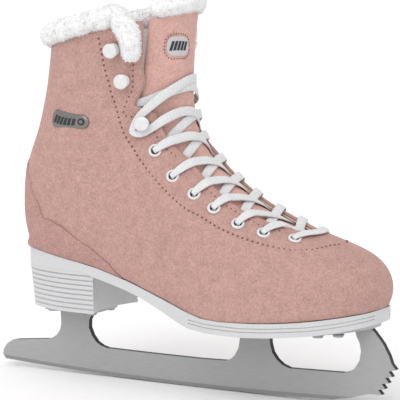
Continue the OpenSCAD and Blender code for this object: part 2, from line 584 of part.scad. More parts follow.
// Width direction: across the local run of the lace, in the boot's surface.
lace_dir = [for (i = [0:lace_m]) let(a = lace_xyz[max(i - 3, 0)], b = lace_xyz[min(i + 3, lace_m)],
  n = N(lace_pts[i][0], lace_pts[i][1])) unit(cross(n, b - a))];
function lace_ring(i) = let(t = unit(lace_xyz[min(i + 1, lace_m)] - lace_xyz[max(i - 1, 0)]),
  w = unit(lace_dir[i] - t * (t * lace_dir[i])), h = cross(t, w), c = lace_xyz[i],
  a = lace_pts[i][3] / 2, b = lace_t / 2) [c + w * a + h * b, c - w * a + h * b, c - w * a - h * b,
  c + w * a - h * b];
module lace() {
  color(c_plush)
  tube(lace_m, 4, function (i) lace_ring(i));
}
module lace_tips() {
  color([.9, .9, .9])
  for (g = [-1, 1]) {
    q = lace_stops[g < 0 ? 0 : lace_n];
    a = P(q[0], q[1], q[2]);
    t = unit(P(q[0] + .8, q[1] + g * .004, q[2] + .3) - a);
    translate(a + t * 1.5)
      rotate([0, acos(t[2]), atan2(t[1], t[0])])
      cylinder(h = 16, r = .9, $fn = 24);
  }
}

blade_runner();
heel_plate();
sole_plate();
heel_plate_screws();
sole_plate_screws();
sole_unit();
shank();
insole_board();
footbed();
upper_shell();
counter_cover();
backstay();
heel_stiffener();
toe_puff();
ankle_pad_lateral();
ankle_pad_medial();
lining();
facing_lateral();
facing_medial();
collar_plush();
tongue_lower();
tongue_lower_pad();
tongue_upper();
tongue_upper_pad();
tongue_plush();
tongue_label();
ankle_badge();
hooks_lateral();
hooks_medial();
eyelets_lateral();
eyelets_medial();
lace();
lace_tips();
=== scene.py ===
"""Figure skate, right foot: the visual model of a suede boot on a steel blade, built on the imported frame."""

import logging
import math
from dataclasses import dataclass, field
from enum import Enum
from typing import Callable, Iterable, Sequence

import bmesh
import bpy
import numpy as np
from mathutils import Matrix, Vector


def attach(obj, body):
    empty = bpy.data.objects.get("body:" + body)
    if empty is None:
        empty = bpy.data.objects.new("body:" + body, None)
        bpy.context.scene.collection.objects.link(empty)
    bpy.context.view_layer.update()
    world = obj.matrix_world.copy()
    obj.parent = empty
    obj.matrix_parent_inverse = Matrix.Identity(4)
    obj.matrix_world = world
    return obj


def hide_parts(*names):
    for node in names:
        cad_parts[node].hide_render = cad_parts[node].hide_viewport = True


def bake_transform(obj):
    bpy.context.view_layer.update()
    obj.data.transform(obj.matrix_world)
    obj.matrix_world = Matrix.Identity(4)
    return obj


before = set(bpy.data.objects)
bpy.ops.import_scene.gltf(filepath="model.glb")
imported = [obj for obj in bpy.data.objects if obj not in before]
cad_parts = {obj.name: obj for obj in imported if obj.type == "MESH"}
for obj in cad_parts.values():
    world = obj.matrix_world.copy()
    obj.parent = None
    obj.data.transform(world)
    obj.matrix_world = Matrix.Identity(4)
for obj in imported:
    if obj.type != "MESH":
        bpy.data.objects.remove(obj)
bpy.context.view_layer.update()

log = logging.getLogger("skate")

MM = 0.001


class Side(Enum):
    """The two sides of a right boot, as the sign of Y."""

    LATERAL = -1
    MEDIAL = 1


class Body(Enum):
    """The frame's rigid bodies."""

    BOOT = "boot"
    TONGUE_TOP = "tongue_top"


# ---------------------------------------------------------------- small helpers


def linear(colour: str) -> tuple[float, float, float, float]:
    """Turns an sRGB hex colour into linear RGBA.

    Args:
        colour: Six hex digits, with or without a leading hash.

    Returns:
        Linear red, green, blue and an alpha of 1.
    """
    digits = colour.lstrip("#")
    parts = [int(digits[i : i + 2], 16) / 255 for i in (0, 2, 4)]
    r, g, b = [c / 12.92 if c <= 0.04045 else ((c + 0.055) / 1.055) ** 2.4 for c in parts]
    return (r, g, b, 1.0)


def add_node(tree: bpy.types.NodeTree, kind: str, settings: dict | None = None, links: dict | None = None
             ) -> bpy.types.Node:
    """Adds one shader node with its settings and incoming links.

    Args:
        tree: The node tree that takes it.
        kind: Blender's type name of the node.
        settings: Attribute names or input sockets (by name or index) to values.
        links: Input sockets (by name or index) to the output sockets that feed them.

    Returns:
        The new node.
    """
    made = tree.nodes.new(kind)
    for key, value in (settings or {}).items():
        if isinstance(key, str) and hasattr(made, key) and key not in made.inputs:
            setattr(made, key, value)
        else:
            made.inputs[key].default_value = value
    for key, source in (links or {}).items():
        tree.links.new(source, made.inputs[key])
    return made


def unit(v: np.ndarray) -> np.ndarray:
    """Scales vectors along the last axis to length 1."""
    return v / np.maximum(np.linalg.norm(v, axis=-1, keepdims=True), 1e-12)


def catmull(points: Sequence[Sequence[float]], steps: int) -> np.ndarray:
    """Runs a Catmull-Rom curve through a list of points.

    Args:
        points: The stops, each a list of numbers.
        steps: Divisions between two stops.

    Returns:
        An array of points on the curve, ends included.
    """
    p = np.array(points, float)
    pad = np.vstack([p[:1], p, p[-1:]])
    f = np.linspace(0, 1, steps, endpoint=False)[:, None]
    rows = []
    for i in range(len(p) - 1):
        a, b, c, d = pad[i : i + 4]
        rows.append(0.5 * (2 * b + (c - a) * f + (2 * a - 5 * b + 4 * c - d) * f**2 + (3 * b - a - 3 * c + d) * f**3))
    return np.vstack([*rows, p[-1:]])


def wobble(p: np.ndarray, size: float, seed: int) -> np.ndarray:
    """Smooth pseudo-random values from -1 to 1 at points in space.

    Args:
        p: Points, metres, shape (..., 3).
        size: Size of one lump in metres.
        seed: Picks the pattern.

    Returns:
        One value per point.
    """
    rng = np.random.default_rng(seed)
    total = np.zeros(p.shape[:-1])
    for _ in range(6):
        k = unit(rng.normal(size=3)) * 2 * math.pi / size * rng.uniform(0.7, 1.5)
        total += np.sin(p @ k + rng.uniform(0, 6.28))
    return total / 3.2


# ---------------------------------------------------------------- finishes


@dataclass(frozen=True)
class Finish:
    """A surface finish: the shader's own values, and a pattern for colour and bump."""

    name: str
    colour: str
    roughness: float
    metallic: float = 0.0
    sheen: float = 0.0
    sheen_tint: str = "ffffff"
    specular: float = 0.5
    coat: float = 0.0
    second: str | None = None
    grain_mm: float = 1.0
    stretch: tuple[float, float, float] = (1, 1, 1)
    mottle_mm: float = 0.0
    mottle: float = 0.0
    bump: float = 0.0
    bump_mm: float = 0.1

    def build(self) -> bpy.types.Material:
        """Makes the Blender material once, and hands back the same one afterwards.

        Returns:
            The material.
        """
        found = bpy.data.materials.get(self.name)
        if found:
            return found
        made = bpy.data.materials.new(self.name)
        made.use_nodes = True
        tree = made.node_tree
        shader = tree.nodes["Principled BSDF"]
        shader.inputs["Roughness"].default_value = self.roughness
        shader.inputs["Metallic"].default_value = self.metallic
        shader.inputs["Specular IOR Level"].default_value = self.specular
        shader.inputs["Sheen Weight"].default_value = self.sheen
        shader.inputs["Sheen Roughness"].default_value = 0.5
        shader.inputs["Sheen Tint"].default_value = linear(self.sheen_tint)
        shader.inputs["Coat Weight"].default_value = self.coat
        shader.inputs["Coat Roughness"].default_value = 0.15
        where = add_node(tree, "ShaderNodeTexCoord")
        scaled = add_node(tree, "ShaderNodeMapping", {"Scale": self.stretch}, {"Vector": where.outputs["Object"]})
        grain = add_node(
            tree,
            "ShaderNodeTexNoise",
            {"Scale": 1 / (self.grain_mm * MM), "Detail": 3.0, "Roughness": 0.6},
            {"Vector": scaled.outputs[0]},
        )
        dark = self.second or self.colour
        ramp = add_node(tree, "ShaderNodeValToRGB", links={"Fac": grain.outputs["Fac"]})
        ramp.color_ramp.elements[0].position = 0.32
        ramp.color_ramp.elements[1].position = 0.68
        ramp.color_ramp.elements[0].color = linear(dark)
        ramp.color_ramp.elements[1].color = linear(self.colour)
        colour = ramp.outputs["Color"]
        if self.mottle:
            cloud = add_node(
                tree,
                "ShaderNodeTexNoise",
                {"Scale": 1 / (self.mottle_mm * MM), "Detail": 2.0},
                {"Vector": where.outputs["Object"]},
            )
            span = add_node(
                tree,
                "ShaderNodeMapRange",
                {"From Min": 0.3, "From Max": 0.7, "To Min": 1 - self.mottle, "To Max": 1 + self.mottle},
                {"Value": cloud.outputs["Fac"]},
            )
            shade = add_node(tree, "ShaderNodeHueSaturation", links={"Color": colour, "Value": span.outputs[0]})
            colour = shade.outputs["Color"]
        tree.links.new(colour, shader.inputs["Base Color"])
        if self.bump:
            relief = add_node(
                tree,
                "ShaderNodeBump",
                {"Strength": self.bump, "Distance": self.bump_mm * MM},
                {"Height": grain.outputs["Fac"]},
            )
            tree.links.new(relief.outputs[0], shader.inputs["Normal"])
        return made


# Brushed suede: split hide, nap raised; no shine, a soft lit edge from the standing fibres.
SUEDE = Finish("suede_brushed", "c29c94", 0.95, sheen=0.12, sheen_tint="f3d8d0", specular=0.15, second="a8857d",
               grain_mm=1.3, mottle_mm=6, mottle=0.07, bump=0.55, bump_mm=0.2)
# The same hide on the tongue, a lighter tone.
SUEDE_TONGUE = Finish("suede_tongue", "d6afa6", 0.95, sheen=0.15, sheen_tint="f3d8d0", specular=0.15, second="c2988f",
                      grain_mm=1.2, mottle_mm=6, mottle=0.05, bump=0.5, bump_mm=0.18)
# The same hide on the heel counter and backstay, a little darker.
SUEDE_HEEL = Finish("suede_heel_brushed", "bd9790", 0.95, sheen=0.1, sheen_tint="f0d2ca", specular=0.15,
                    second="a27e77", grain_mm=1.3, mottle_mm=6, mottle=0.07, bump=0.55, bump_mm=0.2)
# Holes that the needle left, in shadow.
NEEDLE_HOLE = Finish("suede_needle_hole", "7d5850", 1.0, specular=0.05, second="6a4a43", grain_mm=0.6)
# Cut edge of the split-leather facing: pale, dry, fibrous.
FACING = Finish("leather_raw_edge", "cdbcae", 0.95, specular=0.2, second="b9a696", grain_mm=0.5, bump=0.4, bump_mm=0.1)
# Plush pile: long white polyester fibres, light caught deep between them.
PLUSH = Finish("plush_pile", "f4f4f4", 1.0, sheen=0.2, specular=0.1, second="ececec", grain_mm=2.2, mottle_mm=9,
               mottle=0.03, bump=0.5, bump_mm=0.5)
# Fleece lining: short cropped pile, greyer than the plush.
FLEECE = Finish("fleece_lining", "d2d1d0", 1.0, sheen=0.2, specular=0.1, second="b8b7b6", grain_mm=1.6, bump=0.8,
                bump_mm=0.5)
# Flat-woven polyester lace: fine ribs along its length.
LACE = Finish("lace_woven", "e6e6e6", 0.85, sheen=0.15, specular=0.25, second="c6c7c8", grain_mm=0.7, bump=0.7,
              bump_mm=0.16)
# Injection-moulded TPU sole: semi-gloss white with a fine moulded texture.
SOLE = Finish("tpu_moulded", "cbcbcc", 0.42, specular=0.45, second="c5c5c7", grain_mm=1.4, mottle_mm=30, mottle=0.01,
              bump=0.12, bump_mm=0.05)
# Stamped and satin-ground carbon steel: fine scratches along the blade.
BLADE = Finish("steel_satin_ground", "a9a9aa", 0.5, metallic=0.35, specular=0.4, second="9f9fa0", grain_mm=0.5,
               stretch=(0.06, 1, 1), mottle_mm=40, mottle=0.02, bump=0.12, bump_mm=0.02)
# Pressed and zinc-plated plates and screws.
PLATE = Finish("steel_zinc_plated", "b4b4b6", 0.35, metallic=0.8, second="a2a2a5", grain_mm=0.8, bump=0.1, bump_mm=0.03)
# White enamel over pressed steel: eyelets and hooks, smooth with a clear highlight.
ENAMEL = Finish("enamel_white", "dcdcdc", 0.25, specular=0.5, coat=0.4, second="d4d4d5", grain_mm=3.0, bump=0.03,
                bump_mm=0.05)
# Zinc die casting, brushed and lacquered: the ankle badge.
BADGE = Finish("zinc_brushed", "8a8786", 0.3, metallic=0.8, second="767473", grain_mm=0.35, stretch=(0.1, 1, 1),
               bump=0.15, bump_mm=0.02)
# Black paint in the badge's recess and print on the label.
BLACK_PAINT = Finish("paint_black", "2a2a2b", 0.5, second="222223", grain_mm=0.8, bump=0.05, bump_mm=0.02)
# Woven satin label.
LABEL = Finish("satin_woven", "c9c6c8", 0.5, sheen=0.1, second="b4b1b4", grain_mm=0.5, stretch=(1, 1, 0.3), bump=0.3,
               bump_mm=0.05)
# Pressed fibre board under the footbed.
BOARD = Finish("fibre_board", "a5835f", 0.9, second="8c6d4d", grain_mm=1.2, bump=0.3, bump_mm=0.1)
# Fabric-faced foam: footbed and ankle pads.
FOAM = Finish("foam_faced", "dedbd5", 0.95, sheen=0.2, second="cfcbc3", grain_mm=1.0, bump=0.4, bump_mm=0.1)
# Thermoformed stiffener sheet.
STIFFENER = Finish("stiffener_sheet", "d2ccb9", 0.7, second="c4bda8", grain_mm=1.5, bump=0.2, bump_mm=0.08)
# Clear-white celluloid lace tip.
TIP = Finish("celluloid_tip", "f2f2f2", 0.2, coat=0.3, second="e6e6e6", grain_mm=2.0, bump=0.05, bump_mm=0.05)


# ---------------------------------------------------------------- meshes


def make_object(name: str, verts: np.ndarray, faces: list, finish: Finish, body: Body | None, smooth: bool = True,
                replaces: Iterable[str] = ()) -> bpy.types.Object:
    """Makes a mesh object, dresses it and lets it ride on a body.

    Args:
        name: The piece's name.
        verts: Points in metres.
        faces: Vertex indices of each face.
        finish: Its finish.
        body: The body it moves with, or None for a piece that rides on no body.
        smooth: Shade it smooth.
        replaces: CAD nodes that it stands for.

    Returns:
        The object.
    """
    mesh = bpy.data.meshes.new(name)
    mesh.from_pydata([tuple(v) for v in np.asarray(verts, float).reshape(-1, 3)], [], faces)
    mesh.validate()
    if smooth:
        mesh.polygons.foreach_set("use_smooth", [True] * len(mesh.polygons))
    made = bpy.data.objects.new(name, mesh)
    bpy.context.scene.collection.objects.link(made)
    made.data.materials.append(finish.build())
    if body:
        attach(made, body.value)
    if replaces:
        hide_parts(*replaces)
    log.info("%s: %d faces", name, len(mesh.polygons))
    return made


def edit(obj: bpy.types.Object, work: Callable[[bmesh.types.BMesh], None]) -> None:
    """Runs a bmesh edit on an object's mesh."""
    bm = bmesh.new()
    bm.from_mesh(obj.data)
    work(bm)
    bm.to_mesh(obj.data)
    bm.free()
    obj.data.update()


def outward(bm: bmesh.types.BMesh) -> None:
    """Makes every normal point outwards."""
    bmesh.ops.recalc_face_normals(bm, faces=bm.faces)
    if bm.calc_volume(signed=True) < 0:
        bmesh.ops.reverse_faces(bm, faces=bm.faces)


def weld(obj: bpy.types.Object, distance: float = 1e-6) -> None:
    """Merges points that coincide and turns the normals outwards."""

    def work(bm: bmesh.types.BMesh) -> None:
        """Merges and turns."""
        bmesh.ops.remove_doubles(bm, verts=bm.verts, dist=distance)
        outward(bm)

    edit(obj, work)


def grid_faces(rows: int, cols: int, start: int = 0, closed: bool = False) -> list[tuple[int, int, int, int]]:
    """Quads of a grid of rows by cols points, closed round its columns if asked."""
    span = cols if closed else cols - 1
    return [
        (start + i * cols + j, start + i * cols + (j + 1) % cols, start + (i + 1) * cols + (j + 1) % cols,
         start + (i + 1) * cols + j)
        for i in range(rows - 1)
        for j in range(span)
    ]


def capped(rows: int, cols: int) -> list[tuple[int, ...]]:
    """Quads of a grid closed round its columns, with both ends shut."""
    ends = [tuple(range(cols))[::-1], tuple(range((rows - 1) * cols, rows * cols))]
    return grid_faces(rows, cols, closed=True) + ends


def lathe(profile: Sequence[tuple[float, float]], origin: np.ndarray, axis: np.ndarray, segments: int = 40,
          ) -> tuple[np.ndarray, list]:
    """Turns a profile about an axis.

    Args:
        profile: Radius and height pairs in millimetres, first and last usually on the axis.
        origin: Where height 0 is, metres.
        axis: Direction of height.
        segments: Steps round the axis.

    Returns:
        Points and faces.
    """
    n = unit(np.array(axis, float))
    u = unit(np.cross(n, [0.3, 0.2, 0.93] if abs(n[2]) < 0.9 else [1, 0, 0]))
    v = np.cross(n, u)
    angle = np.linspace(0, 2 * math.pi, segments, endpoint=False)
    circle = np.cos(angle)[:, None] * u + np.sin(angle)[:, None] * v
    rows = [origin + n * h * MM + r * MM * circle for r, h in profile]
    ring = profile[0] == profile[-1]
    count = len(profile)
    return np.vstack(rows), grid_faces(count, segments, closed=True) if ring else capped(count, segments)


def join(parts: Iterable[tuple[np.ndarray, list]]) -> tuple[np.ndarray, list]:
    """Puts several point and face lists into one."""
    verts, faces, count = [], [], 0
    for v, f in parts:
        verts.append(np.asarray(v).reshape(-1, 3))
        faces += [tuple(i + count for i in face) for face in f]
        count += len(verts[-1])
    return np.vstack(verts), faces


# ---------------------------------------------------------------- the boot's surface


@dataclass
class Last:
    """The boot's outer surface as CAD has it: s from toe tip to collar, r from -1 over the front to 1.

    Each section is front point x, z; sole or back-seam point x, z; half width; half width at the sole;
    height share of the widest point; sideways centre. Millimetres.
    """

    sections: list = field(default_factory=lambda: [
        [131, 60, 131, 60, 0, 0, .35, 8], [133.5, 72.5, 129, 59.6, 16, 15, .35, 7.5],
        [130.5, 84, 122, 58.6, 27, 26, .35, 6.5], [122, 92.5, 111, 57, 35.5, 34, .35, 5],
        [108, 99, 98, 55.4, 41, 39.5, .35, 3.5], [88, 105.5, 80, 53.8, 45, 43.5, .36, 2],
        [68, 113.5, 58, 52.8, 46, 44.5, .38, .5], [49, 124, 32, 53, 43.5, 41, .4, -1],
        [33, 136, 4, 60.5, 40, 35, .42, -1], [20, 148, -24, 69, 38, 31, .44, -.5],
        [11, 159.5, -52, 76.5, 37, 29.5, .46, 0], [6.5, 170, -80, 81.3, 36.5, 28.5, .48, 0],
        [4.5, 179, -103, 84, 36, 21, .5, 0], [4, 187, -114, 84.6, 36, 12, .5, 0],
        [3.5, 194, -118.5, 88, 36, 0, .5, 0], [3.5, 201, -122, 106, 36, 0, .5, 0],
        [4, 211, -120, 135, 35.5, 0, .5, 0], [4.5, 222, -110, 163, 35, 0, .5, 0],
        [5.5, 232, -103.5, 190, 36, 0, .5, 0], [6.5, 240, -100, 214, 37, 0, .5, 0],
        [7.5, 248, -98, 236, 37.5, 0, .5, 0]])
    edge_line: list = field(default_factory=lambda: [
        [4.86, 0], [5.2, .07], [6, .113], [6.8, .145], [7.7, .163], [8.5, .17], [9.6, .172], [10.3, .197],
        [11, .212], [12.4, .225], [13.4, .234], [14.3, .262], [15.1, .312], [15.6, .285], [15.9, .275],
        [16.7, .295], [17.5, .3], [19, .31]])
    stay_line: list = field(default_factory=lambda: [
        [4.2, .083], [4.5, .172], [5.1, .23], [5.9, .26], [6.8, .285], [7.8, .312], [8.9, .34], [12, .34],
        [15, .363], [16.4, .406], [17.4, .449], [19, .497]])
    eyelets: list = field(default_factory=lambda: [
        [10.99, .277], [9.54, .279], [8.5, .26], [7.68, .241], [6.78, .224], [6, .196], [5.16, .143]])
    hooks: list = field(default_factory=lambda: [[18, .42], [16.46, .359], [13.27, .282]])

    def station(self, s: np.ndarray) -> np.ndarray:
        """Section values at s, on a Catmull-Rom curve through the table."""
        t = np.array(self.sections, float)
        n = len(t) - 1
        pad = np.vstack([2 * t[0] - t[1], t, 2 * t[-1] - t[-2]])
        u = np.clip(s, 0, n)
        i = np.minimum(np.floor(u).astype(int), n - 1)
        f = (u - i)[..., None]
        a, b, c, d = pad[i], pad[i + 1], pad[i + 2], pad[i + 3]
        return 0.5 * (2 * b + (c - a) * f + (2 * a - 5 * b + 4 * c - d) * f**2 + (3 * b - a - 3 * c + d) * f**3)

    @staticmethod
    def soft(d: np.ndarray, w: np.ndarray) -> np.ndarray:
        """Depth that never turns a narrow section inside out."""
        v = 0.9 * np.maximum(w, 1e-6)
        return np.where(w < 0.01, 0, v * (1 - np.exp(np.minimum(-d / v, 0.5))))

    def point(self, s: np.ndarray, r: np.ndarray, d: np.ndarray = 0.0) -> np.ndarray:
        """Points of the surface, or under it.

        Args:
            s: Places from toe tip to collar.
            r: Places round the section.
            d: Depth under the surface in millimetres; negative is outside it.

        Returns:
            Points in metres, last axis x, y, z.
        """
        s, r, d = np.broadcast_arrays(np.asarray(s, float), np.asarray(r, float), np.asarray(d, float))
        q = self.station(s)
        top, low = q[..., 0:2], q[..., 2:4]
        reach = np.linalg.norm(top - low, axis=-1)
        e = np.where(reach[..., None] < 0.01, np.array([0.0, 1.0]), (top - low) / np.maximum(reach, 1e-9)[..., None])
        back = np.clip((s - 12.5) / 1.5, 0, 1)
        top = top - e * self.soft(d, reach * 0.67)[..., None]
        low = low + e * (d * back)[..., None]
        w, ws = np.maximum(q[..., 4], 0), np.maximum(q[..., 5], 0)
        w1, ws1 = w - self.soft(d, w), ws - self.soft(d, ws)
        t = 1 - np.abs(r)
        c, n = np.cos(np.pi * t), np.sin(np.pi * t)
        h = np.where(t < 0.5, q[..., 6] * (1 - c), q[..., 6] - (1 - q[..., 6]) * c)
        y = np.where(t < 0.5, ws1 + (w1 - ws1) * n, w1 * n)
        x = low[..., 0] + (top[..., 0] - low[..., 0]) * h - d * np.maximum(0, 1 - s / 2)
        z = low[..., 1] + (top[..., 1] - low[..., 1]) * h
        return np.stack([x, q[..., 7] + np.where(r < 0, -1, 1) * y, z], -1) * MM

    def normal(self, s: np.ndarray, r: np.ndarray) -> np.ndarray:
        """Outward unit normals of the surface."""
        a = self.point(np.asarray(s) + 0.05, r) - self.point(np.asarray(s) - 0.05, r)
        b = self.point(s, np.asarray(r) + 0.01) - self.point(s, np.asarray(r) - 0.01)
        return unit(np.cross(b, a))

    def edge(self, s: np.ndarray) -> np.ndarray:
        """The flap's front edge as r."""
        t = np.array(self.edge_line)
        return np.interp(s, t[:, 0], t[:, 1])

    def stay(self, s: np.ndarray) -> np.ndarray:
        """The reinforcement line behind the eyelets as r."""
        t = np.array(self.stay_line)
        return np.interp(s, t[:, 0], t[:, 1])

    def local(self, s: float, r: float, across: np.ndarray, up: np.ndarray, d: float) -> np.ndarray:
        """Lays flat coordinates on the surface round one place.

        Args:
            s: Place from toe tip to collar.
            r: Place round the section.
            across: Millimetres along the surface, level and towards the toe.
            up: Millimetres along the surface, upwards.
            d: Depth in millimetres.

        Returns:
            Points in metres.
        """
        h = 0.02
        ps = (self.point(s + h, r) - self.point(s - h, r)) / (2 * h) / MM
        pr = (self.point(s, r + h / 4) - self.point(s, r - h / 4)) / (h / 2) / MM
        n = self.normal(s, r)
        level = unit(np.cross(np.array([0, 0, 1.0]), n) * (1 if r < 0 else -1))
        rise = unit(np.cross(n, level)) * (1 if r < 0 else -1)
        m = np.stack([ps, pr], -1)
        to_s_r = np.linalg.pinv(m)
        step_a, step_u = to_s_r @ level, to_s_r @ rise
        return self.point(s + across * step_a[0] + up * step_u[0], r + across * step_a[1] + up * step_u[1], d)


def sheet_mesh(outer: np.ndarray, inner: np.ndarray, swell: float = 0.35) -> tuple[np.ndarray, list]:
    """Closes two grids into a sheet with rounded rims.

    Args:
        outer: Grid of points, shape (rows, cols, 3).
        inner: The grid under it.
        swell: How far the rim bulges, as a share of the thickness.

    Returns:
        Points and faces.
    """
    rows, cols = outer.shape[:2]

    verts = [outer.reshape(-1, 3), inner.reshape(-1, 3)]
    faces = grid_faces(rows, cols) + [f[::-1] for f in grid_faces(rows, cols, rows * cols)]
    count = 2 * rows * cols
    loop = ([(0, j) for j in range(cols)] + [(i, cols - 1) for i in range(1, rows)]
            + [(rows - 1, j) for j in range(cols - 2, -1, -1)] + [(i, 0) for i in range(rows - 2, 0, -1)])
    for i0, j0 in loop:
        ii, jj = min(max(i0, 1), rows - 2), min(max(j0, 1), cols - 2)
        o, n = outer[i0, j0], inner[i0, j0]
        away = unit(o - outer[ii, jj])
        push = away * np.linalg.norm(o - n) * swell
        verts.append(np.stack([o + (n - o) * deep + push * out for deep, out in ((0.22, 0.8), (0.5, 1), (0.78, 0.8))]))
    size = len(loop)
    for k in range(size):
        a, b = loop[k], loop[(k + 1) % size]
        ia, ib = a[0] * cols + a[1], b[0] * cols + b[1]
        ra, rb = count + 3 * k, count + 3 * ((k + 1) % size)
        chain_a = [ia, ra, ra + 1, ra + 2, rows * cols + ia]
        chain_b = [ib, rb, rb + 1, rb + 2, rows * cols + ib]
        faces += [(chain_a[m], chain_a[m + 1], chain_b[m + 1], chain_b[m]) for m in range(4)]
    return np.vstack(verts), faces


def pierce(obj: bpy.types.Object, places: Iterable[tuple[np.ndarray, np.ndarray]], radius: float) -> None:
    """Opens round holes through a finely meshed sheet.

    Args:
        obj: The sheet.
        places: Centre and axis of each hole, metres.
        radius: Hole radius in metres.
    """

    def work(bm: bmesh.types.BMesh) -> None:
        """Refines the mesh round each hole, opens it and closes its wall."""
        for centre, axis in places:
            c, n = Vector(centre), Vector(axis)

            def off(p: Vector) -> tuple[float, float]:
                """Distances of a point from the hole's axis and along it."""
                along = (p - c).dot(n)
                return (p - c - n * along).length, abs(along)

            near = [f for f in bm.faces if off(f.calc_center_median())[0] < radius * 2.4
                    and off(f.calc_center_median())[1] < 0.009]
            edges = list({e for f in near for e in f.edges})
            bmesh.ops.subdivide_edges(bm, edges=edges, cuts=2, use_grid_fill=True)
            gone = [f for f in bm.faces if off(f.calc_center_median())[0] < radius
                    and off(f.calc_center_median())[1] < 0.009]
            bmesh.ops.delete(bm, geom=gone, context="FACES")
            for v in bm.verts:
                if v.is_boundary:
                    r, along = off(v.co)
                    if r < radius * 1.6 and along < 0.009 and r > 1e-6:
                        out = (v.co - c) - n * (v.co - c).dot(n)
                        v.co += out * (radius / r - 1)
            rim = [e for e in bm.edges if e.is_boundary and off(e.verts[0].co)[0] < radius * 1.6
                   and off(e.verts[0].co)[1] < 0.009]
            bmesh.ops.bridge_loops(bm, edges=rim)

    edit(obj, work)


# ---------------------------------------------------------------- upper


